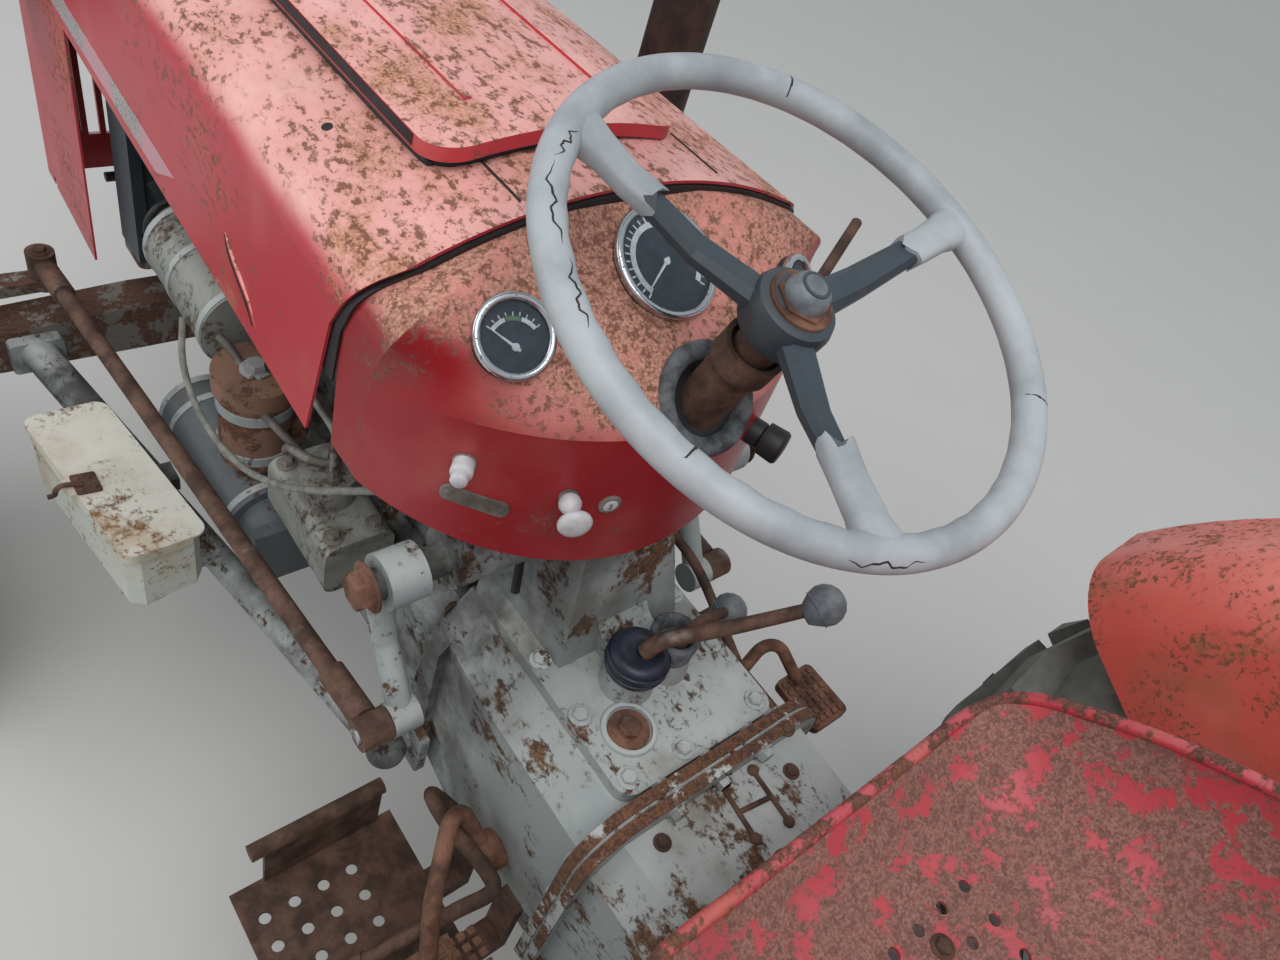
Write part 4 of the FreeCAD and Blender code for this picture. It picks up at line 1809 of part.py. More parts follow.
build()
doc.recompute()
check()
os.makedirs("parts", exist_ok=True)
for piece in PARTS:
    piece.Shape.exportStep(f"parts/{piece.Label}.step")
    extent = piece.Shape.BoundBox
    print(f"{piece.Label}: {len(piece.Shape.Solids)} solids, "
          f"X {extent.XMin:.0f} {extent.XMax:.0f}, Y {extent.YMin:.0f} {extent.YMax:.0f}, "
          f"Z {extent.ZMin:.0f} {extent.ZMax:.0f}")
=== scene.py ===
# %% [markdown]
# # An old farm tractor, dressed in Blender
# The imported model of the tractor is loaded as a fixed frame. Every solid keeps its place and shape.
# This script gives each one a finish, and adds the small things that solids leave out: bolts, dials,
# knobs, holes' rims and trim. Lengths are in metres, +X is the tractor's left, +Y its rear, +Z up.

import math

import bmesh
import bpy
from mathutils import Matrix, Vector
from mathutils.bvhtree import BVHTree


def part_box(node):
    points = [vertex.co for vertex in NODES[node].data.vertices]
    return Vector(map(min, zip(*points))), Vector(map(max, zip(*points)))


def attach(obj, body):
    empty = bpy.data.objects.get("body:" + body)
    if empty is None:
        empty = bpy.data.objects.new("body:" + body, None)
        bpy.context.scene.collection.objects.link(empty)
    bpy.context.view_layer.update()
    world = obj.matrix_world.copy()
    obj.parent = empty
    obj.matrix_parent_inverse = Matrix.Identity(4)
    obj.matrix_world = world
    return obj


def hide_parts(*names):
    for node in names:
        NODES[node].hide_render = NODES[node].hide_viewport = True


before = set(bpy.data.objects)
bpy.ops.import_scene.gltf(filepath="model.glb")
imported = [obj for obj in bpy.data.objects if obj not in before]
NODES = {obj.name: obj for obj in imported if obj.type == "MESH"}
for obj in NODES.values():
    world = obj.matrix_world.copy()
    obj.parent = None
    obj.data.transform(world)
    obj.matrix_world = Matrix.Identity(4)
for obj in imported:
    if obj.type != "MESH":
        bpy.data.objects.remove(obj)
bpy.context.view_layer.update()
AXLE_Y = 0.6985
print("nodes loaded:", len(NODES))

# %% [markdown]
# ## Colours and nodes
# Colours are written as they look on a screen and turned into linear light by one function.
# One small function adds a shader node with its settings and its links, so a material reads as a list.

# %% Colour and node helpers


def linear(hex_code):
    """Turns a screen colour such as #A8141E into linear light."""
    parts = [int(hex_code[k:k + 2], 16) / 255 for k in (1, 3, 5)]
    light = [c / 12.92 if c <= 0.04045 else ((c + 0.055) / 1.055) ** 2.4 for c in parts]
    return (*light, 1.0)


def add(tree, kind, links=None, **settings):
    """Adds a node. Settings are its properties or sockets, links go from other nodes' outputs to its sockets."""
    node = tree.nodes.new(kind)
    for key, value in settings.items():
        if hasattr(node, key):
            setattr(node, key, value)
        else:
            node.inputs[key.replace("_", " ")].default_value = value
    for socket, source in (links or {}).items():
        tree.links.new(source, node.inputs[socket])
    return node


def math_node(tree, operation, first, second):
    """First and second are numbers or outputs."""
    node = tree.nodes.new("ShaderNodeMath")
    node.operation = operation
    for index, value in enumerate((first, second)):
        if isinstance(value, (int, float)):
            node.inputs[index].default_value = value
        else:
            tree.links.new(value, node.inputs[index])
    return node.outputs[0]


def noise(tree, where, per_metre, detail=4.0, roughness=0.55):
    """Noise with so many blotches in a metre."""
    node = add(tree, "ShaderNodeTexNoise", {"Vector": where}, Scale=per_metre, Detail=detail, Roughness=roughness)
    return node.outputs["Fac"]


def between(tree, value, low, high):
    """0 where the value is under low, 1 where it is over high, smooth between."""
    node = tree.nodes.new("ShaderNodeMapRange")
    node.interpolation_type = "SMOOTHSTEP"
    tree.links.new(value, node.inputs["Value"])
    node.inputs["From Min"].default_value = low
    node.inputs["From Max"].default_value = high
    return node.outputs["Result"]


def blend(tree, factor, first, second):
    """Mixes two colours, given as hex codes or outputs."""
    node = tree.nodes.new("ShaderNodeMix")
    node.data_type = "RGBA"
    if isinstance(factor, (int, float)):
        node.inputs[0].default_value = factor
    else:
        tree.links.new(factor, node.inputs[0])
    for index, value in ((6, first), (7, second)):
        if isinstance(value, str):
            node.inputs[index].default_value = linear(value)
        else:
            tree.links.new(value, node.inputs[index])
    return node.outputs[2]


def new_material(name):
    material = bpy.data.materials.new(name)
    material.use_nodes = True
    tree = material.node_tree
    tree.nodes.clear()
    output = tree.nodes.new("ShaderNodeOutputMaterial")
    shader = tree.nodes.new("ShaderNodeBsdfPrincipled")
    tree.links.new(shader.outputs[0], output.inputs[0])
    place = tree.nodes.new("ShaderNodeTexCoord")
    return material, tree, shader, place


print("red enamel in linear light:", [round(c, 3) for c in linear("#A8141E")[:3]])

# %% [markdown]
# ## Weathered paint
# Old enamel fades where the sun falls on it, so faces that look up are paler; that pale colour is sun fade and
# a painted sky sheen. Rust starts in blotches of some 40 to 150 mm, and each blotch is full of dark flakes some
# 4 to 8 mm long. The mask that turns paint to rust also makes the surface rougher and lifts its flaking edge.

# %% Painted metal


def painted(name, sound, bleached_with_sheen, rust, deep_rust, bleach_and_sheen_weight=0.6, rusting=0.3, upward=0.2, gloss=0.42, dirt="#5A4E44",
            dirty=0.25, flaky=0.5, blotches=20.0, stretch=1.0, soft=0.045, stain=1.0, painted_shade_span=None):
    """Paint over steel or iron. Rusting runs from 0, none, to 1, all; upward adds rust on upper faces, and the fade
    weight turns upper faces to the pale colour: sun fade and a painted sky sheen. Soft is the width of a rust patch's
    edge, stain how much it covers; the last argument gives two places along the tractor, in metres: painted shade
    darkens the paint ahead of the first and fades out by the second."""
    material, tree, shader, place = new_material(name)
    where = place.outputs["Object"]
    drawn = add(tree, "ShaderNodeMapping", {"Vector": where}).outputs["Vector"]
    drawn.node.inputs["Scale"].default_value = (1.0, stretch, 1.0)
    up = add(tree, "ShaderNodeSeparateXYZ", {"Vector": place.outputs["Normal"]}).outputs["Z"]
    lifted = between(tree, up, 0.05, 0.95)
    broad = noise(tree, where, 5.0, 3.0)
    blotch = noise(tree, drawn, blotches, 9.0, 0.62)
    flake = noise(tree, drawn, 120.0, 6.0, 0.7)
    fine = noise(tree, where, 330.0, 4.0, 0.6)
    # Upper faces take the pale colour: sun fade, and a painted sky sheen.
    bleach_and_sheen = math_node(tree, "MULTIPLY", lifted, bleach_and_sheen_weight)
    bleach_and_sheen = math_node(tree, "ADD", bleach_and_sheen, math_node(tree, "MULTIPLY", math_node(tree, "SUBTRACT", broad, 0.5), 1.1))
    bleach_and_sheen = between(tree, bleach_and_sheen, 0.0, 0.8)
    coat = blend(tree, bleach_and_sheen, sound, bleached_with_sheen)
    coat = blend(tree, math_node(tree, "MULTIPLY", between(tree, blotch, 0.3, 0.5), 0.25), coat, sound)
    spotted = math_node(tree, "ADD", math_node(tree, "MULTIPLY", blotch, 0.72), math_node(tree, "MULTIPLY", flake, 0.28))
    spotted = math_node(tree, "ADD", spotted, math_node(tree, "MULTIPLY", lifted, upward))
    threshold = 0.72 - 0.44 * rusting
    eaten = math_node(tree, "MULTIPLY", between(tree, spotted, threshold, threshold + soft), stain)
    near = between(tree, spotted, threshold - 0.05, threshold + 0.06)
    flakes = math_node(tree, "MULTIPLY", between(tree, flake, 0.53, 0.6), near)
    brown = blend(tree, between(tree, fine, 0.3, 0.7), rust, deep_rust)
    colour = blend(tree, eaten, coat, brown)
    colour = blend(tree, math_node(tree, "MULTIPLY", flakes, flaky), colour, deep_rust)
    soil = math_node(tree, "MULTIPLY", between(tree, noise(tree, where, 11.0, 5.0), 0.48, 0.75), dirty)
    colour = blend(tree, soil, colour, dirt)
    # Painted shade: ahead of the first given place, under the dash, the paint darkens in blotches to near black.
    if painted_shade_span:
        along = add(tree, "ShaderNodeSeparateXYZ", {"Vector": where}).outputs["Y"]
        painted_shade_mask = math_node(tree, "SUBTRACT", 1.0, between(tree, along, *painted_shade_span))
        painted_shade_mask = math_node(tree, "MULTIPLY", painted_shade_mask, between(tree, noise(tree, where, 9.0, 6.0, 0.6), 0.36, 0.6))
        colour = blend(tree, math_node(tree, "MULTIPLY", painted_shade_mask, 0.85), colour, "#241E1A")
    tree.links.new(colour, shader.inputs["Base Color"])
    shine = math_node(tree, "ADD", gloss, math_node(tree, "MULTIPLY", eaten, 0.85 - gloss))
    shine = math_node(tree, "ADD", shine, math_node(tree, "MULTIPLY", fine, 0.12))
    tree.links.new(shine, shader.inputs["Roughness"])
    shader.inputs["IOR"].default_value = 1.5
    height = math_node(tree, "SUBTRACT", math_node(tree, "MULTIPLY", fine, eaten), math_node(tree, "MULTIPLY", flakes, 0.9))
    height = math_node(tree, "ADD", height, math_node(tree, "MULTIPLY", fine, 0.1))
    bump = add(tree, "ShaderNodeBump", {"Height": height}, Strength=0.55, Distance=0.0012)
    tree.links.new(bump.outputs["Normal"], shader.inputs["Normal"])
    return material


# The bonnet's pale colour on its upper faces is sun fade and a painted sky sheen.
BONNET_RED = painted("sun-faded red enamel on the bonnet", "#BE3540", "#F6BEB4", "#DEA079", "#7C4F3C", 0.95, 0.41, 0.07,
                     0.36, "#A07C66", 0.2, 0.9, 10.0, 0.6, 0.12, 0.85)
DASH_RED = painted("red enamel on the dash", "#981721", "#DF9488", "#D8A68E", "#7C503E", 0.95, 0.28, 0.24, 0.3,
                   "#6A4638", 0.25, 0.85, 11.0, 1.0, 0.12, 0.85)
GUARD_RED = painted("red enamel on the mudguards", "#D95A4E", "#F6A093", "#B9774F", "#7A4A36", 0.6, 0.4, 0.06, 0.4,
                    "#9C6A4A", 0.55, 0.85, 15.0, 1.0, 0.1, 0.85)
SEAT_RED = painted("worn red enamel on the seat", "#BC4049", "#D07074", "#A5756A", "#755248", 0.25, 0.6, 0.02, 0.38,
                   "#74544A", 0.35, 0.7, 26.0)
SEAT_RIM_RED = painted("scuffed red enamel on the seat's rim", "#BC3C48", "#D47A7C", "#845648", "#5A3C32", 0.4, 0.5,
                       0.02, 0.36, "#C08A4A", 0.2, 0.6, 34.0)
# The last value places painted shade on this grey iron under the dash.
CAST_GREY = painted("grey paint on cast iron", "#959C9B", "#C0C4BF", "#7E5A3E", "#48362C", 0.55, 0.38, 0.03, 0.5,
                    "#6A5843", 0.6, 0.85, 17.0, 0.7, 0.06, 1.0, (-0.26, -0.1))
ARM_GREY = painted("grey paint on forged arms", "#979F9F", "#C2C6C2", "#7E583E", "#4A382E", 0.55, 0.33, 0.02, 0.5,
                   "#5E4E3E", 0.4, 0.8, 24.0)
FLANGE_RUST = painted("rusted edge of a cast flange", "#A4AAA8", "#C8CAC4", "#7A5138", "#48342A", 0.4, 0.64, 0.03, 0.6,
                      "#5A4434", 0.4, 0.9, 22.0, 1.0, 0.05)
SHEET_GREY = painted("grey paint on rusty sheet steel", "#C4C7BE", "#E2E0D3", "#9E744E", "#684832", 0.6, 0.37, 0.03,
                     0.5, "#B08E5C", 0.5, 0.8, 14.0, 1.0, 0.1, 0.95)
WHEEL_GREY = painted("pale grey paint on wheels", "#98A1A6", "#AEB5B8", "#80543F", "#533A2E", 0.3, 0.25, 0.0, 0.5,
                     "#6A5E50", 0.45)
AXLE_GREY = painted("worn grey paint on the front axle", "#6C6660", "#86827A", "#6B4A3A", "#43302A", 0.4, 0.55, 0.05, 0.6,
                    "#3C342E", 0.4)
DARK_PAINT = painted("dark paint on engine fittings", "#2A343C", "#46525A", "#6A4635", "#3E2C25", 0.4, 0.2, 0.02, 0.4)
STARTER_BLUE = painted("dirty grey paint on the starter", "#565C60", "#747A7C", "#70503F", "#4A362C", 0.4, 0.3, 0.02,
                       0.45, "#4A4036", 0.5)
LAMP_DARK = painted("dull dark enamel on the lamps", "#26282B", "#3B3E42", "#5E4436", "#3A2A24", 0.4, 0.25, 0.03, 0.4)
PUMP_GREY = painted("oily grey aluminium paint", "#868882", "#AAAAA0", "#6A523E", "#40322A", 0.4, 0.45, 0.0, 0.45,
                    "#3A3028", 0.75, 0.7, 16.0, 1.0, 0.12)
FILTER_BROWN = painted("rusty brown paint on the oil filter", "#866452", "#A2806C", "#7C503E", "#523629", 0.3, 0.5, 0.0,
                       0.6, "#4A3A2E", 0.4)
print("painted finishes:", sum(1 for m in bpy.data.materials if "paint" in m.name or "enamel" in m.name))

# %% [markdown]
# ## Bare rusty steel, rubber and hard grips
# Steel that was never painted, or lost its paint long ago, is brown all over, with lighter orange dust
# in the hollows. Rubber dries out grey on top, and the steering wheel's grip is rubbed pale by hands.

# %% Bare and soft materials


def rusty(name, dark, light, polished="#6E6A66", worn=0.15, rough=0.8):
    """Bare steel that rusted all over; worn is how much of it is rubbed bright."""
    material, tree, shader, place = new_material(name)
    where = place.outputs["Object"]
    blotch = noise(tree, where, 30.0, 8.0, 0.6)
    fine = noise(tree, where, 260.0, 6.0)
    colour = blend(tree, between(tree, blotch, 0.35, 0.66), dark, light)
    bare = between(tree, noise(tree, where, 14.0, 4.0), 0.78 - worn, 0.86 - worn * 0.6)
    colour = blend(tree, math_node(tree, "MULTIPLY", bare, 0.8), colour, polished)
    colour = blend(tree, math_node(tree, "MULTIPLY", between(tree, fine, 0.5, 0.7), 0.5), colour, dark)
    tree.links.new(colour, shader.inputs["Base Color"])
    shine = math_node(tree, "SUBTRACT", rough, math_node(tree, "MULTIPLY", bare, 0.35))
    tree.links.new(shine, shader.inputs["Roughness"])
    shader.inputs["Metallic"].default_value = 0.25
    bump = add(tree, "ShaderNodeBump", {"Height": fine}, Strength=0.5, Distance=0.0009)
    tree.links.new(bump.outputs["Normal"], shader.inputs["Normal"])
    return material


def dull(name, dark, light, per_metre=40.0, rough=0.75, bump_mm=0.5):
    """Rubber, cork or hard plastic: two tones of one colour and a fine grain."""
    material, tree, shader, place = new_material(name)
    where = place.outputs["Object"]
    tone = noise(tree, where, per_metre, 6.0, 0.6)
    colour = blend(tree, between(tree, tone, 0.32, 0.68), dark, light)
    height = noise(tree, where, per_metre * 14, 4.0)
    tree.links.new(colour, shader.inputs["Base Color"])
    shader.inputs["Roughness"].default_value = rough
    bump = add(tree, "ShaderNodeBump", {"Height": height}, Strength=0.4, Distance=bump_mm / 1000)
    tree.links.new(bump.outputs["Normal"], shader.inputs["Normal"])
    return material


RUST = rusty("brown rusted steel", "#43322A", "#6E5243")
ORANGE_RUST = rusty("orange rusted steel", "#573C2F", "#8C6450")
DARK_RUST = rusty("dark scaled steel of the exhaust", "#2B2220", "#49342C", "#4A4542", 0.05, 0.75)
LINK_RUST = rusty("brown rusted drag link", "#4A372E", "#755849", "#9A9088", 0.16)
WORN_STEEL = rusty("worn grey steel", "#4E4A47", "#6B645E", "#9A9894", 0.3, 0.55)
TYRE = dull("dusty tyre rubber", "#6C6E68", "#7E8078", 34.0, 0.88, 0.8)
RUBBER = dull("black rubber", "#101013", "#222226", 30.0, 0.5)
HOSE = dull("dusty grey rubber hose", "#3E4346", "#63696B", 18.0, 0.75)
CABLE = dull("grey cloth-bound cable", "#6A6A64", "#8C8C84", 60.0, 0.8)
BOOT = dull("dark blue rubber boot", "#10131C", "#242A3A", 30.0, 0.42)
OLD_RUBBER = dull("weathered grey rubber", "#34373A", "#6C7073", 60.0, 0.8, 0.6)
GRIP = dull("hand-worn pale grip of the steering wheel", "#8E9498", "#B4B9BC", 9.0, 0.5, 0.25)
CRACK = dull("dark cracks in the grip", "#201E1C", "#3A3430", 60.0, 0.9)
KNOB = dull("dark grey knob", "#565C62", "#787E82", 60.0, 0.42, 0.2)
PALE_KNOB = dull("pale grey knob", "#B4B4B6", "#D6D6D8", 50.0, 0.4, 0.2)
DIAL = dull("dark blue-grey dial face", "#2C3640", "#3A4650", 90.0, 0.6, 0.1)
MARKING = dull("white dial paint", "#B8C0C4", "#D8DEE0", 90.0, 0.6, 0.1)
GREEN_MARK = dull("green dial paint", "#4E6A50", "#66826A", 90.0, 0.6, 0.1)
print("materials so far:", len(bpy.data.materials))

# %% [markdown]
# ## Bright trim, glass and the decal
# The instruments have chromed brass bezels, a little pitted. The strip on the bonnet's side is a silver
# film that has crazed in the sun. Glass is thin and clear, so it only adds a shine over the dial.

# %% Chrome, film and glass


def chrome():
    material, tree, shader, place = new_material("pitted chrome on brass")
    where = place.outputs["Object"]
    pits = between(tree, noise(tree, where, 420.0, 5.0), 0.6, 0.68)
    tree.links.new(blend(tree, pits, "#C9CED2", "#6E675E"), shader.inputs["Base Color"])
    tree.links.new(math_node(tree, "ADD", 0.2, math_node(tree, "MULTIPLY", pits, 0.5)), shader.inputs["Roughness"])
    shader.inputs["Metallic"].default_value = 1.0
    return material


def silver_film():
    material, tree, shader, place = new_material("crazed silver film")
    where = place.outputs["Object"]
    crazed = add(tree, "ShaderNodeTexVoronoi", {"Vector": where}, feature="DISTANCE_TO_EDGE", Scale=190.0)
    lines = math_node(tree, "SUBTRACT", 1.0, between(tree, crazed.outputs["Distance"], 0.02, 0.16))
    worn = between(tree, noise(tree, where, 9.0, 3.0), 0.46, 0.56)
    colour = blend(tree, math_node(tree, "MULTIPLY", lines, 0.75), "#BDB7B6", "#7A6C66")
    colour = blend(tree, worn, colour, "#CF9AA4")
    tree.links.new(colour, shader.inputs["Base Color"])
    shader.inputs["Roughness"].default_value = 0.45
    shader.inputs["Metallic"].default_value = 0.2
    bump = add(tree, "ShaderNodeBump", {"Height": lines}, Strength=0.4, Distance=0.0005)
    tree.links.new(bump.outputs["Normal"], shader.inputs["Normal"])
    return material


def clear_glass():
    material, tree, shader, place = new_material("clear instrument glass")
    dust = between(tree, noise(tree, place.outputs["Object"], 260.0, 5.0), 0.45, 0.8)
    tree.links.new(blend(tree, math_node(tree, "MULTIPLY", dust, 0.3), "#FFFFFF", "#C8CCC8"), shader.inputs["Base Color"])
    tree.links.new(math_node(tree, "ADD", 0.03, math_node(tree, "MULTIPLY", dust, 0.12)), shader.inputs["Roughness"])
    shader.inputs["Transmission Weight"].default_value = 1.0
    shader.inputs["IOR"].default_value = 1.1
    return material


CHROME = chrome()
FILM = silver_film()
GLASS = clear_glass()
print("trim materials:", CHROME.name, "|", FILM.name, "|", GLASS.name)

# %% [markdown]
# ## Which solid has which finish
# A short table says it, from the photograph where a piece is in view and from its kind elsewhere.

# %% Dress the solids
FINISH = {
    BONNET_RED: "bonnet bonnet_lid grille",
    DASH_RED: "dash_shell",
    GUARD_RED: "mudguards fuel_tank",
    SEAT_RED: "seat_pan",
    CAST_GREY: "steering_box gearbox_case rear_housing lift_cover engine_block radius_rods seat_bracket",
    SHEET_GREY: "toolbox toolbox_lid",
    WHEEL_GREY: "rear_wheel_left rear_wheel_right front_wheel_left front_wheel_right",
    AXLE_GREY: "front_axle front_support knuckle_left knuckle_right",
    ARM_GREY: "drop_arm_left drop_arm_right",
    DARK_PAINT: "fan radiator steering_spokes",
    STARTER_BLUE: "starter_motor",
    LAMP_DARK: "headlamps gauges",
    PUMP_GREY: "injection_pump dynamo",
    FILTER_BROWN: "oil_filter",
    RUST: "steering_column hand_throttle lift_arms lower_links lift_rods drawbar footplates",
    ORANGE_RUST: "pedals",
    DARK_RUST: "exhaust",
    LINK_RUST: "drag_link_left drag_link_right gear_levers",
    WORN_STEEL: "pto_shaft",
    TYRE: "rear_tyre_left rear_tyre_right front_tyre_left front_tyre_right",
    RUBBER: "rubber_strip",
    HOSE: "radiator_hose",
    CABLE: "engine_cable",
    OLD_RUBBER: "dash_collar",
    GRIP: "steering_rim",
    PALE_KNOB: "dash_controls",
}
for material, names in FINISH.items():
    for name in names.split():
        solid = NODES[name]
        solid.data.materials.clear()
        solid.data.materials.append(material)
missing = set(NODES) - {name for names in FINISH.values() for name in names.split()}
print("solids without a finish:", sorted(missing))

# %% [markdown]
# ## Tools for small pieces
# Bolts, pipes, knobs and trims are drawn with a few helpers. Places are given in millimetres across from
# the middle, behind the rear axle and above the ground. A ray sent at a solid finds the exact place and
# slope of its surface, so that a bolt head sits flat on it and a trim strip follows it.

# %% Places, rays and pieces


def spot(across, behind, above):
    """A place in the frame, in metres, from millimetres."""
    return Vector((across / 1000, behind / 1000 + AXLE_Y, above / 1000))


TREES = {}


def landed(node, start, direction, reach=1.0):
    """The first point of a solid that a ray meets, and the normal there, or None."""
    if node not in TREES:
        mesh = NODES[node].data
        TREES[node] = BVHTree.FromPolygons([v.co for v in mesh.vertices], [p.vertices for p in mesh.polygons])
    point, normal, index, distance = TREES[node].ray_cast(start, direction.normalized(), reach)
    if point is None:
        return None
    return (point, normal if normal.dot(direction) < 0 else -normal)


def piece(name, bm, material, body, sharp=38):
    """Finishes a mesh, gives it a material and lets it ride on a body."""
    bmesh.ops.recalc_face_normals(bm, faces=bm.faces)
    mesh = bpy.data.meshes.new(name)
    bm.to_mesh(mesh)
    bm.free()
    mesh.shade_smooth()
    mesh.set_sharp_from_angle(angle=math.radians(sharp))
    mesh.materials.append(material)
    solid = bpy.data.objects.new(name, mesh)
    bpy.context.collection.objects.link(solid)
    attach(solid, body)
    return solid


def facing(direction):
    """A turn that lays the Z axis along a direction."""
    return direction.to_track_quat("Z", "Y").to_matrix()


print("a bolt's ray meets the gearbox top at", landed("steering_box", spot(90, -780, 1000), Vector((0, 0, -1)))[0][:])

# %% [markdown]
# ### Turned, swept and cut forms
# A knob or a bezel is a profile turned about a line. A pipe is a ring carried along a smooth line. A
# plate is an outline with a small bevel, because no pressed or cast edge is perfectly sharp.

# %% Forms


def bridge(bm, rings, closed=False, caps=True):
    """Faces between rings of vertices; a ring may be one vertex, the point of a cone."""
    pairs = list(zip(rings, rings[1:])) + ([(rings[-1], rings[0])] if closed else [])
    for low, high in pairs:
        count = max(len(low), len(high))
        for k in range(count):
            corners = [low[k % len(low)], low[(k + 1) % len(low)], high[(k + 1) % len(high)], high[k % len(high)]]
            bm.faces.new(list(dict.fromkeys(corners)))
    if caps and not closed:
        for ring in (rings[0], rings[-1]):
            if len(ring) > 2:
                bm.faces.new(ring)


def turned(bm, base, direction, profile, sides=24, phase=0.0):
    """Turns a profile of (height, radius) pairs, in mm, about a direction."""
    turn = facing(direction)
    rings = []
    for height, radius in profile:
        count = sides if radius > 0 else 1
        angles = [phase + 2 * math.pi * k / sides for k in range(count)]
        rings.append([bm.verts.new(base + turn @ Vector((radius * math.cos(a), radius * math.sin(a), height)) / 1000)
                      for a in angles])
    bridge(bm, rings)


def smooth_line(points, steps=6, closed=False):
    """Points along a smooth curve that passes through the given ones."""
    count = len(points)
    line = []
    for k in range(count if closed else count - 1):
        around = [points[(k + j) % count] if closed else points[min(max(k + j, 0), count - 1)] for j in (-1, 0, 1, 2)]
        for step in range(steps):
            t = step / steps
            a, b, c, d = around
            line.append(0.5 * (2 * b + (c - a) * t + (2 * a - 5 * b + 4 * c - d) * t * t
                               + (3 * b - a - 3 * c + d) * t ** 3))
    if not closed:
        line.append(points[-1])
    return line


def swept(bm, points, radius, sides=12, closed=False, steps=6):
    """Carries a ring along a smooth line. Radius is in mm, or a function of the share of the way along."""
    line = smooth_line([Vector(p) for p in points], steps, closed)
    count = len(line)
    side = None
    rings = []
    for k, here in enumerate(line):
        ahead = line[(k + 1) % count] if closed else line[min(k + 1, count - 1)]
        behind = line[k - 1] if closed or k else line[0]
        along = (ahead - behind).normalized()
        if side is None:
            side = along.orthogonal().normalized()
        side = (side - along * side.dot(along)).normalized()
        other = along.cross(side)
        size = (radius(k / (count - 1)) if callable(radius) else radius) / 1000
        rings.append([bm.verts.new(here + (side * math.cos(2 * math.pi * j / sides)
                                           + other * math.sin(2 * math.pi * j / sides)) * size)
                      for j in range(sides)])
    bridge(bm, rings, closed)


def plate(bm, outline, at, low, high, bevel=1.0):
    """A flat plate from an outline in mm. The function at(a, b, height) puts a corner in the frame."""
    count = len(outline)
    middle = (sum(a for a, b in outline) / count, sum(b for a, b in outline) / count)

    def ring(height, inset):
        places = []
        for a, b in outline:
            toward = Vector((middle[0] - a, middle[1] - b))
            toward = toward * (inset / max(toward.length, 1e-6))
            places.append(bm.verts.new(at(a + toward.x, b + toward.y, height)))
        return places

    bridge(bm, [ring(low, 0), ring(high - bevel, 0), ring(high, bevel)])


def round_corners(half_a, half_b, radius, steps=5):
    """Outline of a rectangle with round corners, in mm, about its middle."""
    outline = []
    for quarter, (sa, sb) in enumerate(((1, 1), (-1, 1), (-1, -1), (1, -1))):
        for step in range(steps + 1):
            angle = math.radians(90 * quarter + 90 * step / steps)
            outline.append((sa * (half_a - radius) + radius * math.cos(angle),
                            sb * (half_b - radius) + radius * math.sin(angle)))
    return outline


print("corner outline has", len(round_corners(30, 20, 6)), "points")

# %% [markdown]
# ### Hexagon bolts
# Bolt heads are hexagons with a chamfered top on a round washer. Each one is turned a little differently,
# as a spanner leaves them. A table of places and directions makes a whole group as one piece.

# %% Bolts
UP = Vector((0, 0, 1))
LEFT = Vector((1, 0, 0))
BACK = Vector((0, 1, 0))


def hexagon(bm, base, direction, size, height, washer=1.45, phase=0.0):
    """One bolt head; size is the hexagon's radius over its corners, in mm."""
    if washer:
        turned(bm, base, direction, [(-1.0, size * washer), (1.4, size * washer), (1.8, size * washer - 0.6)], 20)
    turned(bm, base, direction, [(-1.0, size), (height * 0.78, size), (height, size * 0.84)], 6, phase)


def bolts(name, places, material, body, size=9, height=7, washer=1.45):
    """Bolt heads at (node, start, direction) rays; each lands on its solid."""
    bm = bmesh.new()
    made = 0
    for index, (node, start, direction) in enumerate(places):
        met = landed(node, start, direction)
        if met:
            hexagon(bm, met[0], met[1], size, height, washer, 0.7 * index)
            made += 1
    print(name, made, "of", len(places), "bolts")
    return piece(name, bm, material, body, 30)


def mirrored_rays(rays):
    """The same rays on the tractor's other side."""
    return rays + [(node, Vector((-s.x, s.y, s.z)), Vector((-d.x, d.y, d.z))) for node, s, d in rays]


print("one bolt head has", 6 * 2 + 2, "flat faces and a washer")

# %% [markdown]
# ## Steering wheel
# A steel ring and three steel spokes are covered with moulded cellulose plastic that runs a little way down
# each spoke. It has finger bumps on its inner side, and age has cracked it and broken the covering's ends.
# The ring is swept as rings of points whose radius swells and sinks, which a plain torus can't do.

# %% Rim with finger bumps
TILT = math.radians(17.5)
RIM_RADIUS, GRIP_RADIUS, DISH = 206.5, 13.5, 34
SPOKE_ANGLES = [math.radians(90 - 23.5 + 120 * k) for k in range(3)]
WHEEL_BUMPS = 40


def on_wheel(x, y, z):
    """A place on the steering wheel, whose own Z axis is the column."""
    return spot(x, -840 + y * math.cos(TILT) + z * math.sin(TILT), 1310 - y * math.sin(TILT) + z * math.cos(TILT))


COLUMN_UP = (on_wheel(0, 0, 1) - on_wheel(0, 0, 0)).normalized()
bm = bmesh.new()
rings = []
stations = WHEEL_BUMPS * 8
for k in range(stations):
    angle = 2 * math.pi * k / stations
    wave = 0.5 - 0.5 * math.cos(angle * WHEEL_BUMPS)
    near_spoke = min(abs((angle - s + math.pi) % (2 * math.pi) - math.pi) for s in SPOKE_ANGLES)
    bump = wave * min(1, max(0, (near_spoke - 0.10) / 0.05))
    ring = []
    for j in range(20):
        turn = 2 * math.pi * j / 20
        inward = max(0, -math.cos(turn + 0.5))
        size = GRIP_RADIUS * (1.0 - 0.07 * bump * inward)
        reach = RIM_RADIUS + size * math.cos(turn)
        ring.append(bm.verts.new(on_wheel(reach * math.cos(angle), reach * math.sin(angle), size * math.sin(turn))))
    rings.append(ring)
bridge(bm, rings, closed=True)
rim = piece("steering_wheel_grip", bm, GRIP, "steering_wheel", 60)
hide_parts("steering_rim")
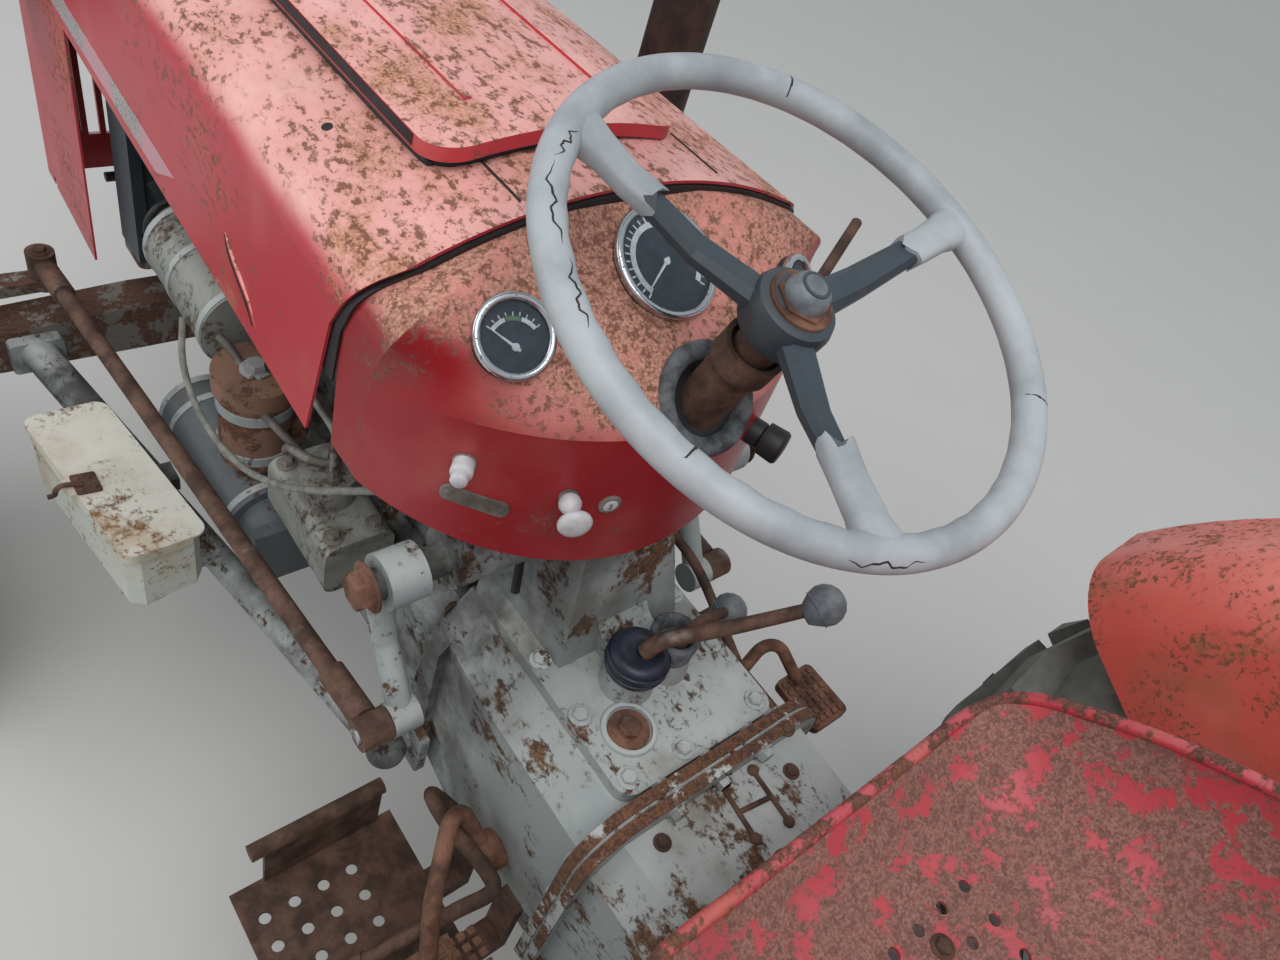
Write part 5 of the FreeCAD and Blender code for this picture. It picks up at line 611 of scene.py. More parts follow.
print("grip has", WHEEL_BUMPS, "bumps,", len(rim.data.polygons), "faces")

# %% Covering on the spokes


def spoke_section(angle, reach, height, half, thick, sides=20):
    """Points of a rounded flat section across a spoke."""
    out = Vector((math.cos(angle), math.sin(angle)))
    side = Vector((-out.y, out.x))
    places = []
    for j in range(sides):
        turn = 2 * math.pi * j / sides
        squash_side = math.copysign(abs(math.cos(turn)) ** 0.7, math.cos(turn)) * half
        lift = math.copysign(abs(math.sin(turn)) ** 0.7, math.sin(turn)) * thick
        across = out * reach + side * squash_side
        places.append((across, height + lift, j))
    return places


bm = bmesh.new()
SLEEVE_ENDS = [88, 62, 74]
for angle, length in zip(SPOKE_ANGLES, SLEEVE_ENDS):
    rings = []
    rows = [(RIM_RADIUS - 1, 0.0, 24, 12.0), (RIM_RADIUS - 12, -0.5, 19, 11.5), (RIM_RADIUS - 26, -4, 15.4, 10.4),
            (RIM_RADIUS - length * 0.7, -9 - length * 0.04, 14.6, 9.8), (RIM_RADIUS - length, -11 - length * 0.06, 14.8, 9.6)]
    for row, (reach, height, half, thick) in enumerate(rows):
        ring = []
        for across, lift, j in spoke_section(angle, reach, height, half, thick):
            if row == len(rows) - 1:
                ragged = 6 * math.sin(j * 0.94 + angle * 5) + 3 * math.sin(j * 1.9)
                across = across - across.normalized() * ragged
            ring.append(bm.verts.new(on_wheel(across.x, across.y, lift)))
        rings.append(ring)
    bridge(bm, rings)
piece("spoke_covering", bm, GRIP, "steering_wheel", 50)
print("covering runs", SLEEVE_ENDS, "mm down the spokes")

# %% Cracks in the grip


def crack(bm, start, end, lift, width=0.9):
    """A thin dark ridge that lies in the grip's skin from one (angle, section turn) to another."""
    line = []
    for k in range(15):
        share = k / 14
        angle = start[0] + (end[0] - start[0]) * share
        turn = start[1] + (end[1] - start[1]) * share + 0.16 * math.sin(share * 17) + 0.08 * math.sin(share * 41)
        size = GRIP_RADIUS + lift
        reach = RIM_RADIUS + size * math.cos(turn)
        line.append(on_wheel(reach * math.cos(angle), reach * math.sin(angle), size * math.sin(turn)))
    swept(bm, line, lambda share: width * math.sin(math.pi * min(max(share, 0.06), 0.94)), 6, steps=2)


bm = bmesh.new()
CRACKS = [
    # (angle round the wheel, turn round the grip) at each end, in radians
    ((4.18, 0.6), (4.20, 2.9)), ((0.42, 0.8), (0.44, 2.9)), ((5.6, 1.2), (5.98, 1.7)), ((2.35, 0.6), (2.38, 2.7)),
    ((0.95, 0.5), (1.32, 0.7)), ((5.42, 2.0), (5.6, 1.5)), ((6.0, 1.9), (6.26, 1.4)),
]
for start, end in CRACKS:
    crack(bm, start, end, -0.35)
piece("grip_cracks", bm, CRACK, "steering_wheel")
print("cracks drawn round the grip")

# %% Hub, washers and domed nut
bm = bmesh.new()
HUB_TOP = -DISH + 17
turned(bm, on_wheel(0, 0, HUB_TOP - 34), COLUMN_UP, [(0, 33), (4, 36), (26, 36), (33, 33.5), (35.5, 28), (36, 12)], 40)
piece("steering_hub_cap", bm, DARK_PAINT, "steering_wheel")
bm = bmesh.new()
turned(bm, on_wheel(0, 0, HUB_TOP), COLUMN_UP, [(1.5, 27), (4.2, 27), (5.0, 26)], 40)
turned(bm, on_wheel(0, 0, HUB_TOP), COLUMN_UP, [(4.5, 23), (7.4, 23), (8.0, 22.2)], 6, 0.3)
piece("steering_nut_washers", bm, ORANGE_RUST, "steering_wheel")
bm = bmesh.new()
turned(bm, on_wheel(0, 0, HUB_TOP), COLUMN_UP,
       [(6, 18.5), (11, 18.5), (14, 17.6), (19, 15.8), (22.4, 12.0), (23.6, 6.5), (24, 0)], 28)
piece("steering_nut", bm, KNOB, "steering_wheel", 50)
print("hub is 72 mm across")

# %% [markdown]
# ## Dash instruments
# Three round instruments with chromed bezels sit in the red sheet. The dials are dark blue-grey with a
# white and green band. Each dial is drawn from flat arcs and a tapered needle, raised a hair's breadth
# over its face, because real dials are printed and need no depth.

# %% Dial pieces


def dash_point(node, across, above):
    """Where a level line from behind meets a solid of the dash, and the slope there."""
    return landed(node, spot(across, -500, above), -BACK)


def ringed(bm, base, direction, profile, sides=48):
    """A ring: a closed profile of (height, radius) pairs turned about a direction."""
    turn = facing(direction)
    rings = []
    for height, radius in profile:
        rings.append([bm.verts.new(base + turn @ Vector((radius * math.cos(2 * math.pi * k / sides),
                                                         radius * math.sin(2 * math.pi * k / sides), height)) / 1000)
                      for k in range(sides)])
    bridge(bm, rings, closed=True)


def dial_frame(foot, out):
    """A function that puts (right, up, out) millimetres of a dial into the frame."""
    up = (UP - out * UP.dot(out)).normalized()
    right = up.cross(out)
    return lambda a, b, c: foot + (right * a + up * b + out * c) / 1000


def arc_band(bm, at, inner, outer, start, end, height, centre=(0, 0)):
    """A flat arc between two radii; angles in degrees, clockwise from straight up."""
    outline = []
    steps = max(2, int(abs(end - start) / 5))
    for reach, order in ((outer, range(steps + 1)), (inner, range(steps, -1, -1))):
        for step in order:
            angle = math.radians(start + (end - start) * step / steps)
            outline.append((centre[0] + reach * math.sin(angle), centre[1] + reach * math.cos(angle)))
    low = [bm.verts.new(at(a, b, height)) for a, b in outline]
    high = [bm.verts.new(at(a, b, height + 0.35)) for a, b in outline]
    count = len(outline)
    half = count // 2
    for k in range(count):
        bm.faces.new([low[k], low[(k + 1) % count], high[(k + 1) % count], high[k]])
    for ring in (low, high):
        for k in range(half - 1):
            bm.faces.new([ring[k], ring[k + 1], ring[count - 2 - k], ring[count - 1 - k]])


def needle(bm, at, pivot, angle, length, height):
    """A tapered pointer on a round boss."""
    turn = math.radians(angle)
    along = Vector((math.sin(turn), math.cos(turn)))
    side = Vector((along.y, -along.x))
    corners = [Vector(pivot) - along * 5 + side * 1.3, Vector(pivot) - along * 5 - side * 1.3,
               Vector(pivot) + along * length - side * 0.5, Vector(pivot) + along * length + side * 0.5]
    bridge(bm, [[bm.verts.new(at(c.x, c.y, h)) for c in corners] for h in (height, height + 0.6)])
    turned(bm, at(pivot[0], pivot[1], height), (at(0, 0, 1) - at(0, 0, 0)), [(0, 3.2), (1.2, 3.2), (1.6, 2.4)], 14)


INSTRUMENTS = [
    # name, across, above, radius, pivot below the middle, needle's angle, bands as (start, end, material)
    ("large", -4, 1227, 51, 0, -126, ((-130, 60, "white"), (60, 95, "green"), (95, 130, "white"))),
    ("left", 157, 1203, 33, -8, -52, ((-52, -18, "white"), (-16, 16, "green"), (18, 52, "white"))),
    ("right", -164, 1187, 33, -8, 20, ((-52, -18, "white"), (-16, 16, "green"), (18, 52, "white"))),
]
bezels, faces, whites, greens, glasses = (bmesh.new() for k in range(5))
for name, across, above, radius, low, angle, bands in INSTRUMENTS:
    floor_point, out = dash_point("gauges", across, above)
    foot = floor_point - BACK * 0.004 / out.y
    at = dial_frame(foot, out)
    ringed(bezels, foot, out, [(2, radius + 0.4), (7.5, radius + 1.6), (9.6, radius + 0.6), (10.4, radius - 2.2),
                               (9.4, radius - 4.8), (6.2, radius - 5.6), (6.0, radius - 4.2)])
    turned(faces, foot, out, [(3.9, radius - 4.6), (4.7, radius - 4.6), (4.8, radius - 6)], 40)
    bright = greens if False else whites
    for start, end, tone in bands:
        arc_band(greens if tone == "green" else whites, at, radius * 0.62, radius * 0.72, start, end, 4.8, (0, low))
    ticks = 9 if low else 27
    span = 104 if low else 260
    for k in range(ticks):
        tick = -span / 2 + span * k / (ticks - 1)
        arc_band(whites, at, radius * (0.74 if k % 2 else 0.72), radius * 0.82, tick - 1.0, tick + 1.0, 4.8, (0, low))
    needle(bright, at, (0, low), angle, radius * 0.68, 5.4)
    turned(glasses, foot, out, [(6.6, radius - 5.0), (7.4, radius - 5.4), (8.0, radius * 0.55), (8.2, 0)], 40)
piece("gauge_bezels", bezels, CHROME, "frame", 60)
piece("gauge_faces", faces, DIAL, "frame")
piece("gauge_white_marks", whites, MARKING, "frame")
piece("gauge_green_marks", greens, GREEN_MARK, "frame")
piece("gauge_glasses", glasses, GLASS, "frame", 60)
print("instruments:", [row[0] for row in INSTRUMENTS])

# %% Rubber ring round the column
centre, out = landed("dash_collar", spot(0, -700, 1178), -BACK)
collar_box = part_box("dash_collar")
ring_middle = (collar_box[0] + collar_box[1]) / 2
COLUMN_HOLE = 33
collar_foot = landed("dash_shell", ring_middle + BACK * 0.4 + LEFT * 0.045, -BACK)
ring_out = collar_foot[1]
bm = bmesh.new()
ringed(bm, ring_middle, ring_out, [(-10, 50), (-2, 51), (1, 50), (3, 46), (3.4, 41), (2, 36), (-2, COLUMN_HOLE), (-10, COLUMN_HOLE)], 56)
for angle in (40, 130, 220, 310):
    turn_at = facing(ring_out) @ Vector((math.cos(math.radians(angle)) * 43.5, math.sin(math.radians(angle)) * 43.5, 3))
    turned(bm, ring_middle + turn_at / 1000, ring_out, [(-1, 3.4), (1.2, 3.2), (2, 2)], 12)
collar = piece("column_grommet", bm, OLD_RUBBER, "frame", 60)
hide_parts("dash_collar")
# A black rubber ring set down in the grommet's hole, round the column, is painted shade in the hole.
bm = bmesh.new()
ringed(bm, ring_middle, ring_out, [(-9, COLUMN_HOLE + 0.5), (-6, COLUMN_HOLE + 0.5), (-6, 24), (-9, 24)], 40)
piece("column_gap", bm, RUBBER, "frame")
print("grommet is", 100, "mm across")

# %% [markdown]
# ### Knobs, key and blank plate
# The push knob is a small two-step mushroom, the pull knob is a thin disc with a smaller knob on it, and
# the key sits in a round lock. They are turned, like the real ones, which come off a lathe or a round mould.

# %% Dash controls
knobs, fittings = bmesh.new(), bmesh.new()
CONTROLS = [
    # across, above, profile of the knob, profile of its fitting
    (192, 1095, [(1, 9.2), (9, 9.6), (14, 9.6), (15.4, 8.2), (15.8, 7.4), (23, 7.4), (24.6, 6), (25, 0)],
     [(-2, 10.4), (1.2, 10.4), (1.8, 9.6)]),
    (116, 1072, [(1, 6.5), (5, 9.6), (10, 10.4), (15, 8.4), (19, 5.8), (24, 5.8), (26, 12), (28.5, 15), (31.5, 15.4),
                 (34.5, 13.4), (36, 9), (36.6, 0)],
     [(-2, 9), (1.2, 9), (2, 7.6)]),
    (77, 1059, [(0, 7.6), (2.4, 7.6), (3.2, 6.4), (3.3, 2.2), (3.4, 0)], [(-2, 11), (1.4, 11), (2.6, 9.6), (2.8, 7.8)]),
]
for across, above, knob, fitting in CONTROLS:
    foot, out = dash_point("dash_shell", across, above)
    turned(knobs, foot, out, knob, 28)
    turned(fittings, foot, out, fitting, 28)
knob_piece = piece("dash_knobs", knobs, PALE_KNOB, "frame", 50)
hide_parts("dash_controls")
key_foot, key_out = dash_point("dash_shell", 77, 1059)
at = dial_frame(key_foot, key_out)
plate(fittings, round_corners(1.1, 3.6, 0.8), lambda a, b, c: at(a, b, c), 3.0, 4.4, 0.3)
piece("dash_fittings", fittings, WORN_STEEL, "frame")
plate_point, plate_out = landed("dash_shell", spot(181, -600, 1052), -BACK)
ALUMINIUM = rusty("weathered aluminium", "#5C5650", "#857E76", "#A6A29C", 0.2, 0.65)
bm = bmesh.new()
along = (spot(203.4, -960, 1057.7) - spot(156.9, -920.4, 1047.2)).normalized()
across_plate = plate_out.cross(along).normalized()
plate(bm, round_corners(31, 9, 8), lambda a, b, c: plate_point + (along * a + across_plate * b + plate_out * c) / 1000,
      -3.0, 1.6, 0.5)
for end in (-24, 24):
    turned(bm, plate_point + (along * end + plate_out * 1.4) / 1000, plate_out, [(0, 3), (1.0, 2.6), (1.4, 0)], 12)
piece("dash_name_plate_blank", bm, ALUMINIUM, "frame")
print("controls:", len(CONTROLS), "and a blank plate 62 mm long")

# %% [markdown]
# ## Bonnet trim
# A long silver film strip runs along each side. Its points are found by rays on the sheet, so it follows the
# taper, and it is lifted half a millimetre, about the thickness that shows. A dark rubber tube under the lid's
# edge darkens the gap there, a black skin on the lid's left flange is painted shade, and the sheet has seams,
# a small hole, and a tear whose corner is bent outward.

# %% Strips that follow the sheet


def conforming(name, node, rows, direction, lift, thick, material, body, both=False):
    """A thin skin on a solid. Rows are lists of ray starts; all rows have the same length."""
    bm = bmesh.new()
    for side in ((1, -1) if both else (1,)):
        flip = Vector((side, 1, 1))
        ray = direction * flip
        low, high = [], []
        for row in rows:
            met = [landed(node, start * flip, ray) for start in row]
            low.append([bm.verts.new(p + n * (lift - thick) / 1000) for p, n in met])
            high.append([bm.verts.new(p + n * lift / 1000) for p, n in met])
        count, width = len(rows), len(rows[0])
        for grid in (low, high):
            for i in range(count - 1):
                for j in range(width - 1):
                    bm.faces.new([grid[i][j], grid[i + 1][j], grid[i + 1][j + 1], grid[i][j + 1]])
        edge = ([(i, 0) for i in range(count)] + [(count - 1, j) for j in range(1, width)]
                + [(i, width - 1) for i in range(count - 2, -1, -1)] + [(0, j) for j in range(width - 2, 0, -1)])
        for (a, b), (c, d) in zip(edge, edge[1:] + edge[:1]):
            bm.faces.new([low[a][b], low[c][d], high[c][d], high[a][b]])
    return piece(name, bm, material, body, 30)


rows = []
for k in range(60):
    y = -2080 + (2080 - 1452) * k / 59
    tail = min(1, max(0.02, (-1452 - y) / 60))
    rows.append([spot(420, y, 1050 - 31 * tail * j / 3) for j in range(4)])
strip = conforming("bonnet_side_strips", "bonnet", rows, -LEFT, 0.6, 1.2, FILM, "bonnet", both=True)
print("strip is 26 mm high and", 2080 - 1452, "mm long")

# %% Dark tube under the lid, seams, hole and tear


def along_surface(node, points, direction, lift=0.0):
    """Each point moved along a direction to a solid's surface."""
    line = []
    for point in points:
        met = landed(node, point, direction)
        if met:
            line.append(met[0] + met[1] * lift / 1000)
    return line


# A dark rubber tube under the lid's edge darkens the gap between the lid and the bonnet.
dark_tube_path = [spot(147, -1700, 1400), spot(147, -1400, 1400), spot(147, -1160, 1400), spot(140, -1128, 1400),
             spot(116, -1116, 1400), spot(60, -1114, 1400), spot(-40, -1114, 1400), spot(-84, -1114, 1400)]
bm = bmesh.new()
swept(bm, along_surface("bonnet", dark_tube_path, -UP, 1.0), 4.0, 10)
piece("bonnet_lid_dark_tube", bm, RUBBER, "bonnet", 60)
bm = bmesh.new()
for x in (109, -109):
    swept(bm, along_surface("bonnet", [spot(x, y, 1400) for y in (-1122, -1098, -1075, -1052)], -UP, 0.0), 1.3, 8)
hole_point, hole_out = landed("bonnet", spot(189, -1221, 1400), -UP)
turned(bm, hole_point, hole_out, [(-1, 5), (0.5, 5), (0.6, 3.5)], 16)
piece("bonnet_seams_and_hole", bm, CRACK, "bonnet")
bm = bmesh.new()
TEAR = [(-1308, 1080), (-1296, 1066), (-1276, 1054), (-1254, 1040), (-1238, 1022)]
swept(bm, along_surface("bonnet", [spot(400, y, z) for y, z in TEAR], -LEFT, 0.2),
      lambda share: 0.5 + 1.7 * math.sin(math.pi * share), 8)
piece("bonnet_tear", bm, CRACK, "bonnet", 70)
bm = bmesh.new()
TEAR_LIP = [(-1306, 1083), (-1292, 1072), (-1272, 1061), (-1248, 1046), (-1230, 1026)]
swept(bm, along_surface("bonnet", [spot(400, y, z) for y, z in TEAR_LIP], -LEFT, -0.4),
      lambda share: 0.8 + 2.6 * math.sin(math.pi * share), 8)
piece("bonnet_tear_lip", bm, BONNET_RED, "bonnet", 70)
print("seal, seams, hole and tear done")

# %% Painted shade on the lid's left edge
# A thin black rubber skin over the lid's left flange is painted shade, where the flange lies in shadow.
rows = []
for k in range(26):
    y = -1700 + (1700 - 1142) * k / 25
    top = 1274.2 - 14 * (-1104 - y) / 1100
    rows.append([spot(300, y, top - 1.5 - 9.5 * j / 2) for j in range(3)])
edge_rows = [row for row in rows if all(landed("bonnet_lid", start, -LEFT) for start in row)]
print("lid edge rows that meet the lid:", len(edge_rows), "of", len(rows))
if len(edge_rows) > 2:
    conforming("lid_edge_rubber", "bonnet_lid", edge_rows, -LEFT, 0.8, 1.4, RUBBER, "bonnet_lid")

# %% [markdown]
# ## Gearbox top and levers
# Two levers come out of dark rubber boots, each a small bellows. The bolted plate under them, the flange
# behind and the lift cover carry hexagon bolts.

# %% Levers, boots and knobs
bm = bmesh.new()
LEVERS = [
    # foot, two bends, end under the knob, radius at the foot and at the knob
    ((22, -813, 872), (4, -806, 894), (-50, -776, 920), (-122, -737, 960), 10, 7),
    ((-24, -806, 862), (-40, -808, 884), (-80, -815, 868), (-118, -820, 846), 8, 6),
]
for foot, bend, middle, end, thick, thin in LEVERS:
    swept(bm, [spot(*foot), spot(*bend), spot(*middle), spot(*end)], lambda share: thick + (thin - thick) * share, 14)
levers = piece("lever_rods", bm, LINK_RUST, "frame", 60)
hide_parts("gear_levers")
bm = bmesh.new()
BOOT_FORM = [(0, 31), (3, 33), (16, 33.5), (24, 32), (29, 28), (30.5, 22), (28, 17), (27, 12)]
turned(bm, spot(26, -815, 848), UP, BOOT_FORM, 36)
for height in (8, 19):
    ringed(bm, spot(26, -815, 848), UP, [(height, 33), (height + 1.6, 34.6), (height + 3.2, 33)], 36)
piece("main_lever_boot", bm, BOOT, "frame", 70)
bm = bmesh.new()
ringed(bm, spot(-24, -815, 846), UP, [(0, 26), (24, 27.5), (29, 26), (30, 22), (27, 19), (4, 17), (0, 17)], 32)
turned(bm, spot(-24, -815, 846), UP, [(0, 18), (14, 18), (18, 12)], 24)
piece("range_lever_cup", bm, OLD_RUBBER, "frame", 60)
bm = bmesh.new()
for place, radius in ((spot(-126, -735, 963), 21), (spot(-123, -821, 842), 20)):
    shape = [(-1.16, 0.44), (-1.0, 0.56), (-0.72, 0.76), (-0.4, 0.95), (0.0, 1.06), (0.4, 0.98), (0.75, 0.74),
             (0.97, 0.4), (1.04, 0.0)]
    turned(bm, place, Vector((-0.8, 0.2, 0.6)), [(h * radius, r * radius) for h, r in shape], 28)
    ringed(bm, place, Vector((-0.8, 0.2, 0.6)), [(h * radius, r * radius) for h, r in ((-0.55, 0.8), (-0.48, 0.99), (-0.40, 0.9))], 28)
piece("lever_knobs", bm, KNOB, "frame", 60)

# %% Bolts of the gearbox and the lift
top_rays = [("steering_box", spot(x, y, 1100), -UP) for x, y in (
    (94, -880), (94, -806), (90, -726), (-94, -880), (-92, -806), (-90, -726), (20, -722))]
bolts("gearbox_plate_bolts", top_rays, ARM_GREY, "frame", 8.5, 6.5)
bm = bmesh.new()
plug, plug_out = landed("steering_box", spot(58, -768, 1100), -UP)
ringed(bm, plug, plug_out, [(-1, 31), (4, 30), (5, 28.5), (4.5, 25), (-1, 24)], 36)
piece("gearbox_filler_ring", bm, ARM_GREY, "frame", 60)
bm = bmesh.new()
turned(bm, plug, plug_out, [(-1, 23.5), (1.2, 23), (1.6, 20)], 28)
turned(bm, plug, plug_out, [(1, 12.5), (8, 12.5), (10, 10.6)], 6, 0.5)
piece("gearbox_filler_plug", bm, ORANGE_RUST, "frame")

FLANGE_BOLTS = [(150, 560), (150, 650), (148, 735), (118, 792), (62, 808), (0, 808)]
flange_rays = [(node, spot(x, behind, z), direction)
               for x, z in FLANGE_BOLTS for node, behind, direction in (("gearbox_case", -900, BACK), ("rear_housing", -500, -BACK))]
bolts("flange_bolts", mirrored_rays(flange_rays), CAST_GREY, "frame", 10, 9, 1.3)
cover_rays = [("lift_cover", spot(x, y, 1100), -UP) for x, y in (
    (138, -306), (60, -308), (138, -160), (138, -20), (138, 136), (60, 140), (0, -308))]
bolts("lift_cover_bolts", mirrored_rays(cover_rays), RUST, "frame", 10, 8)
bm = bmesh.new()
HOUSING_TOP = 800.3
H_RIBS = [((0, -674), (6, -612)), ((-42, -668), (-38, -606)), ((3, -642), (-40, -636))]
for (x0, y0), (x1, y1) in H_RIBS:
    swept(bm, [spot(x0, y0, HOUSING_TOP), spot((x0 + x1) / 2, (y0 + y1) / 2, HOUSING_TOP), spot(x1, y1, HOUSING_TOP)],
          3.0, 10)
for x, y in ((0, -674), (6, -612), (-42, -668), (-38, -606)):
    turned(bm, spot(x, y, HOUSING_TOP - 1), UP, [(0, 6.5), (3.4, 6.2), (4.8, 4)], 14)
piece("housing_cast_ribs", bm, RUST, "frame", 60)
bm = bmesh.new()
plate(bm, round_corners(138, 134, 24), lambda a, b, c: spot(a, b - 455, c), HOUSING_TOP - 2, HOUSING_TOP + 9, 2)
piece("lift_cover_apron", bm, CAST_GREY, "frame", 50)
bm = bmesh.new()
for index, (x, y) in enumerate(((124, -574), (62, -576), (0, -577), (-62, -576), (-124, -574), (124, -450), (-124, -450),
                                (124, -340), (-124, -340))):
    hexagon(bm, spot(x, y, HOUSING_TOP + 9), UP, 10, 9, 1.4, 0.6 * index)
piece("apron_bolts", bm, RUST, "frame", 30)
bm = bmesh.new()
half, low, high, turn_radius = 170, 500, 827, 70
arch = [(half, low), (half, 620), (half, high - turn_radius)]
for step in range(1, 8):
    angle = math.radians(90 * step / 8)
    arch.append((half - turn_radius + turn_radius * math.cos(angle), high - turn_radius + turn_radius * math.sin(angle)))
arch += [(half - turn_radius, high), (0, high)]
arch += [(-x, z) for x, z in reversed(arch[:-1])]
for rear_side, front_side in ((-703.4, -691.6), (-688.4, -676.6)):
    rings = []
    for x, z in arch:
        out_from = Vector((x, 0, z - 560)).normalized()
        base = Vector((x * 0.995, 0, z))
        rings.append([bm.verts.new(spot(base.x + out_from.x * lift, y, base.z + out_from.z * lift))
                      for y, lift in ((rear_side, -1.5), (front_side, -1.5), (front_side, 1.6), (rear_side, 1.6))])
    bridge(bm, rings)
piece("flange_rusty_edges", bm, FLANGE_RUST, "frame", 50)
small_rays = [("rear_housing", spot(x, y, 1100), -UP) for x, y in ((-92, -680), (-80, -645), (-79, -560), (92, -660), (96, -570))]
bolts("housing_small_bolts", small_rays, RUST, "frame", 6.5, 5)

# %% [markdown]
# ## Seat
# The pressed pan has a rolled edge, a round bead that runs all the way round. It is swept along the pan's
# own edge.

# %% Rolled edge of the seat
HALF_EDGE = [(216, -572, 931), (248, -548, 963), (256, -492, 1007), (258, -422, 1053), (252, -332, 1099),
             (232, -242, 1110), (190, -180, 1124), (136, -140, 1132)]
edge = [spot(0, -574, 923), spot(110, -574, 924)] + [spot(x, y, z) for x, y, z in HALF_EDGE] + [spot(70, -136, 1128)]
edge += [spot(0, -135, 1126)] + [Vector((-p.x, p.y, p.z)) for p in reversed(edge[1:])]
bm = bmesh.new()
swept(bm, edge, 7.0, 14, closed=True, steps=8)
piece("seat_rolled_edge", bm, SEAT_RIM_RED, "frame", 80)
seat_rays = [("seat_pan", spot(x, y, 1100), -UP) for x, y in ((-26, -398), (26, -398), (-26, -440), (26, -440))]
bolts("seat_bolts", seat_rays, RUST, "frame", 8, 6)

# %% [markdown]
# ## Pedals, toolbox and engine
# Pedal pads have a waffle tread, so a boot doesn't slip. The toolbox has a hasp held by rivets.
# The engine's covers and flanges are held by rows of bolts.

# %% Pedal rods
bm = bmesh.new()
CLUTCH_ROD = [(168, -866, 560), (190, -884, 590), (196, -840, 604), (186, -775, 604), (190, -752, 596), (226, -760, 572),
              (288, -776, 520), (322, -785, 494)]
swept(bm, [spot(*place) for place in CLUTCH_ROD], 9, 14)
swept(bm, [spot(316, -783, 498), spot(323, -785, 493), spot(330, -787, 488)], 11, 14)
SIDE_ROD = [(-168, -960, 800), (-168, -900, 790), (-168, -790, 730), (-170, -700, 690), (-172, -610, 640), (-172, -560, 610)]
swept(bm, [spot(*place) for place in SIDE_ROD], 6.5, 12)
piece("pedal_and_side_rods", bm, RUST, "frame", 60)
print("rods: a clutch pedal's and a long side rod")

# %% Pedal treads
bm = bmesh.new()
for across, behind, above in ((-345, -742, 586), (-270, -690, 552)):
    for i in range(5):
        for j in range(6):
            middle = spot(across - 26 + 13 * i, behind - 33 + 13.2 * j, above)
            plate(bm, round_corners(4.6, 4.6, 1.4, 2), lambda a, b, c: middle + Vector((a, b, c)) / 1000, -1, 3.2, 1.1)
for i in range(5):
    for j in range(5):
        middle = spot(128 + 96 + 18.3 + 3 - 26 + 13 * i, -736 + 13.2 * j, 560)
        plate(bm, round_corners(4.6, 4.6, 1.4, 2), lambda a, b, c: middle + Vector((a, b, c)) / 1000, -1, 3.2, 1.1)
piece("pedal_treads", bm, ORANGE_RUST, "frame")
print("waffle treads on three pads")

# %% Engine bolts
head_side = []
for k in range(8):
    y = -1620 + 82 * k
    head_side.append(("engine_block", spot(400, y, 950), -LEFT))
    head_side.append(("engine_block", spot(400, y + 20, 700 if k % 2 else 590), -LEFT))
bolts("engine_side_bolts", mirrored_rays(head_side), CAST_GREY, "frame", 9, 7)
cover_top = [("engine_block", spot(x, y, 1100), -UP) for y in (-1600, -1480, -1360, -1240, -1120, -1030) for x in (-96, 96)]
bolts("head_studs", cover_top, RUST, "frame", 10, 9)
bell = [("gearbox_case", spot(x, -1200, z), BACK) for x, z in ((140, 560), (140, 640), (138, 700), (118, 762), (60, 786))]
bolts("bell_housing_bolts", mirrored_rays(bell), RUST, "frame", 9, 7)

# %% Wheel nuts and valves
for side, sign in (("left", 1), ("right", -1)):
    for wheel, y, z, circle, count, size in (("rear_wheel", 0, 617, 118, 8, 15), ("front_wheel", -1830, 367, 70, 6, 10)):
        rays = []
        for k in range(count):
            angle = 2 * math.pi * (k + 0.5) / count
            rays.append((f"{wheel}_{side}", spot(sign * 900, y + circle * math.cos(angle), z + circle * math.sin(angle)),
                         -LEFT * sign))
        bolts(f"{wheel}_nuts_{side}", rays, RUST, f"{wheel}_{side}", size, size * 0.8)

# %% Headlamp glasses and rims
glass, rims = bmesh.new(), bmesh.new()
for sign in (1, -1):
    low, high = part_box("headlamps")
    centre = Vector((sign * (high.x - 0.080), low.y, (low.z + high.z) / 2))
    turned(glass, centre, -BACK, [(-0.2, 74), (2, 73), (6, 60), (9, 38), (10.4, 16), (10.8, 0)], 40)
    ringed(rims, centre, -BACK, [(-6, 80.2), (-6, 81.6), (2, 81.6), (4, 79), (3.6, 74), (0.2, 73.4), (0.2, 80.2)], 48)
piece("headlamp_lenses", glass, MARKING, "bonnet", 60)
piece("headlamp_rims", rims, CHROME, "bonnet", 60)
print("lamp rims and lenses done")

# %% [markdown]
# ## Engine fittings
# Bands, unions, pipes and cables are turned or swept. Sizes come from the solids they sit on, so a band
# always fits its drum.

# %% Starter, dynamo, filter and pump
bands, unions = bmesh.new(), bmesh.new()


def drum(node):
    """Middle and the two corners, in metres, of the box of a lying drum's solid."""
    low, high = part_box(node)
    return (low + high) / 2, low, high


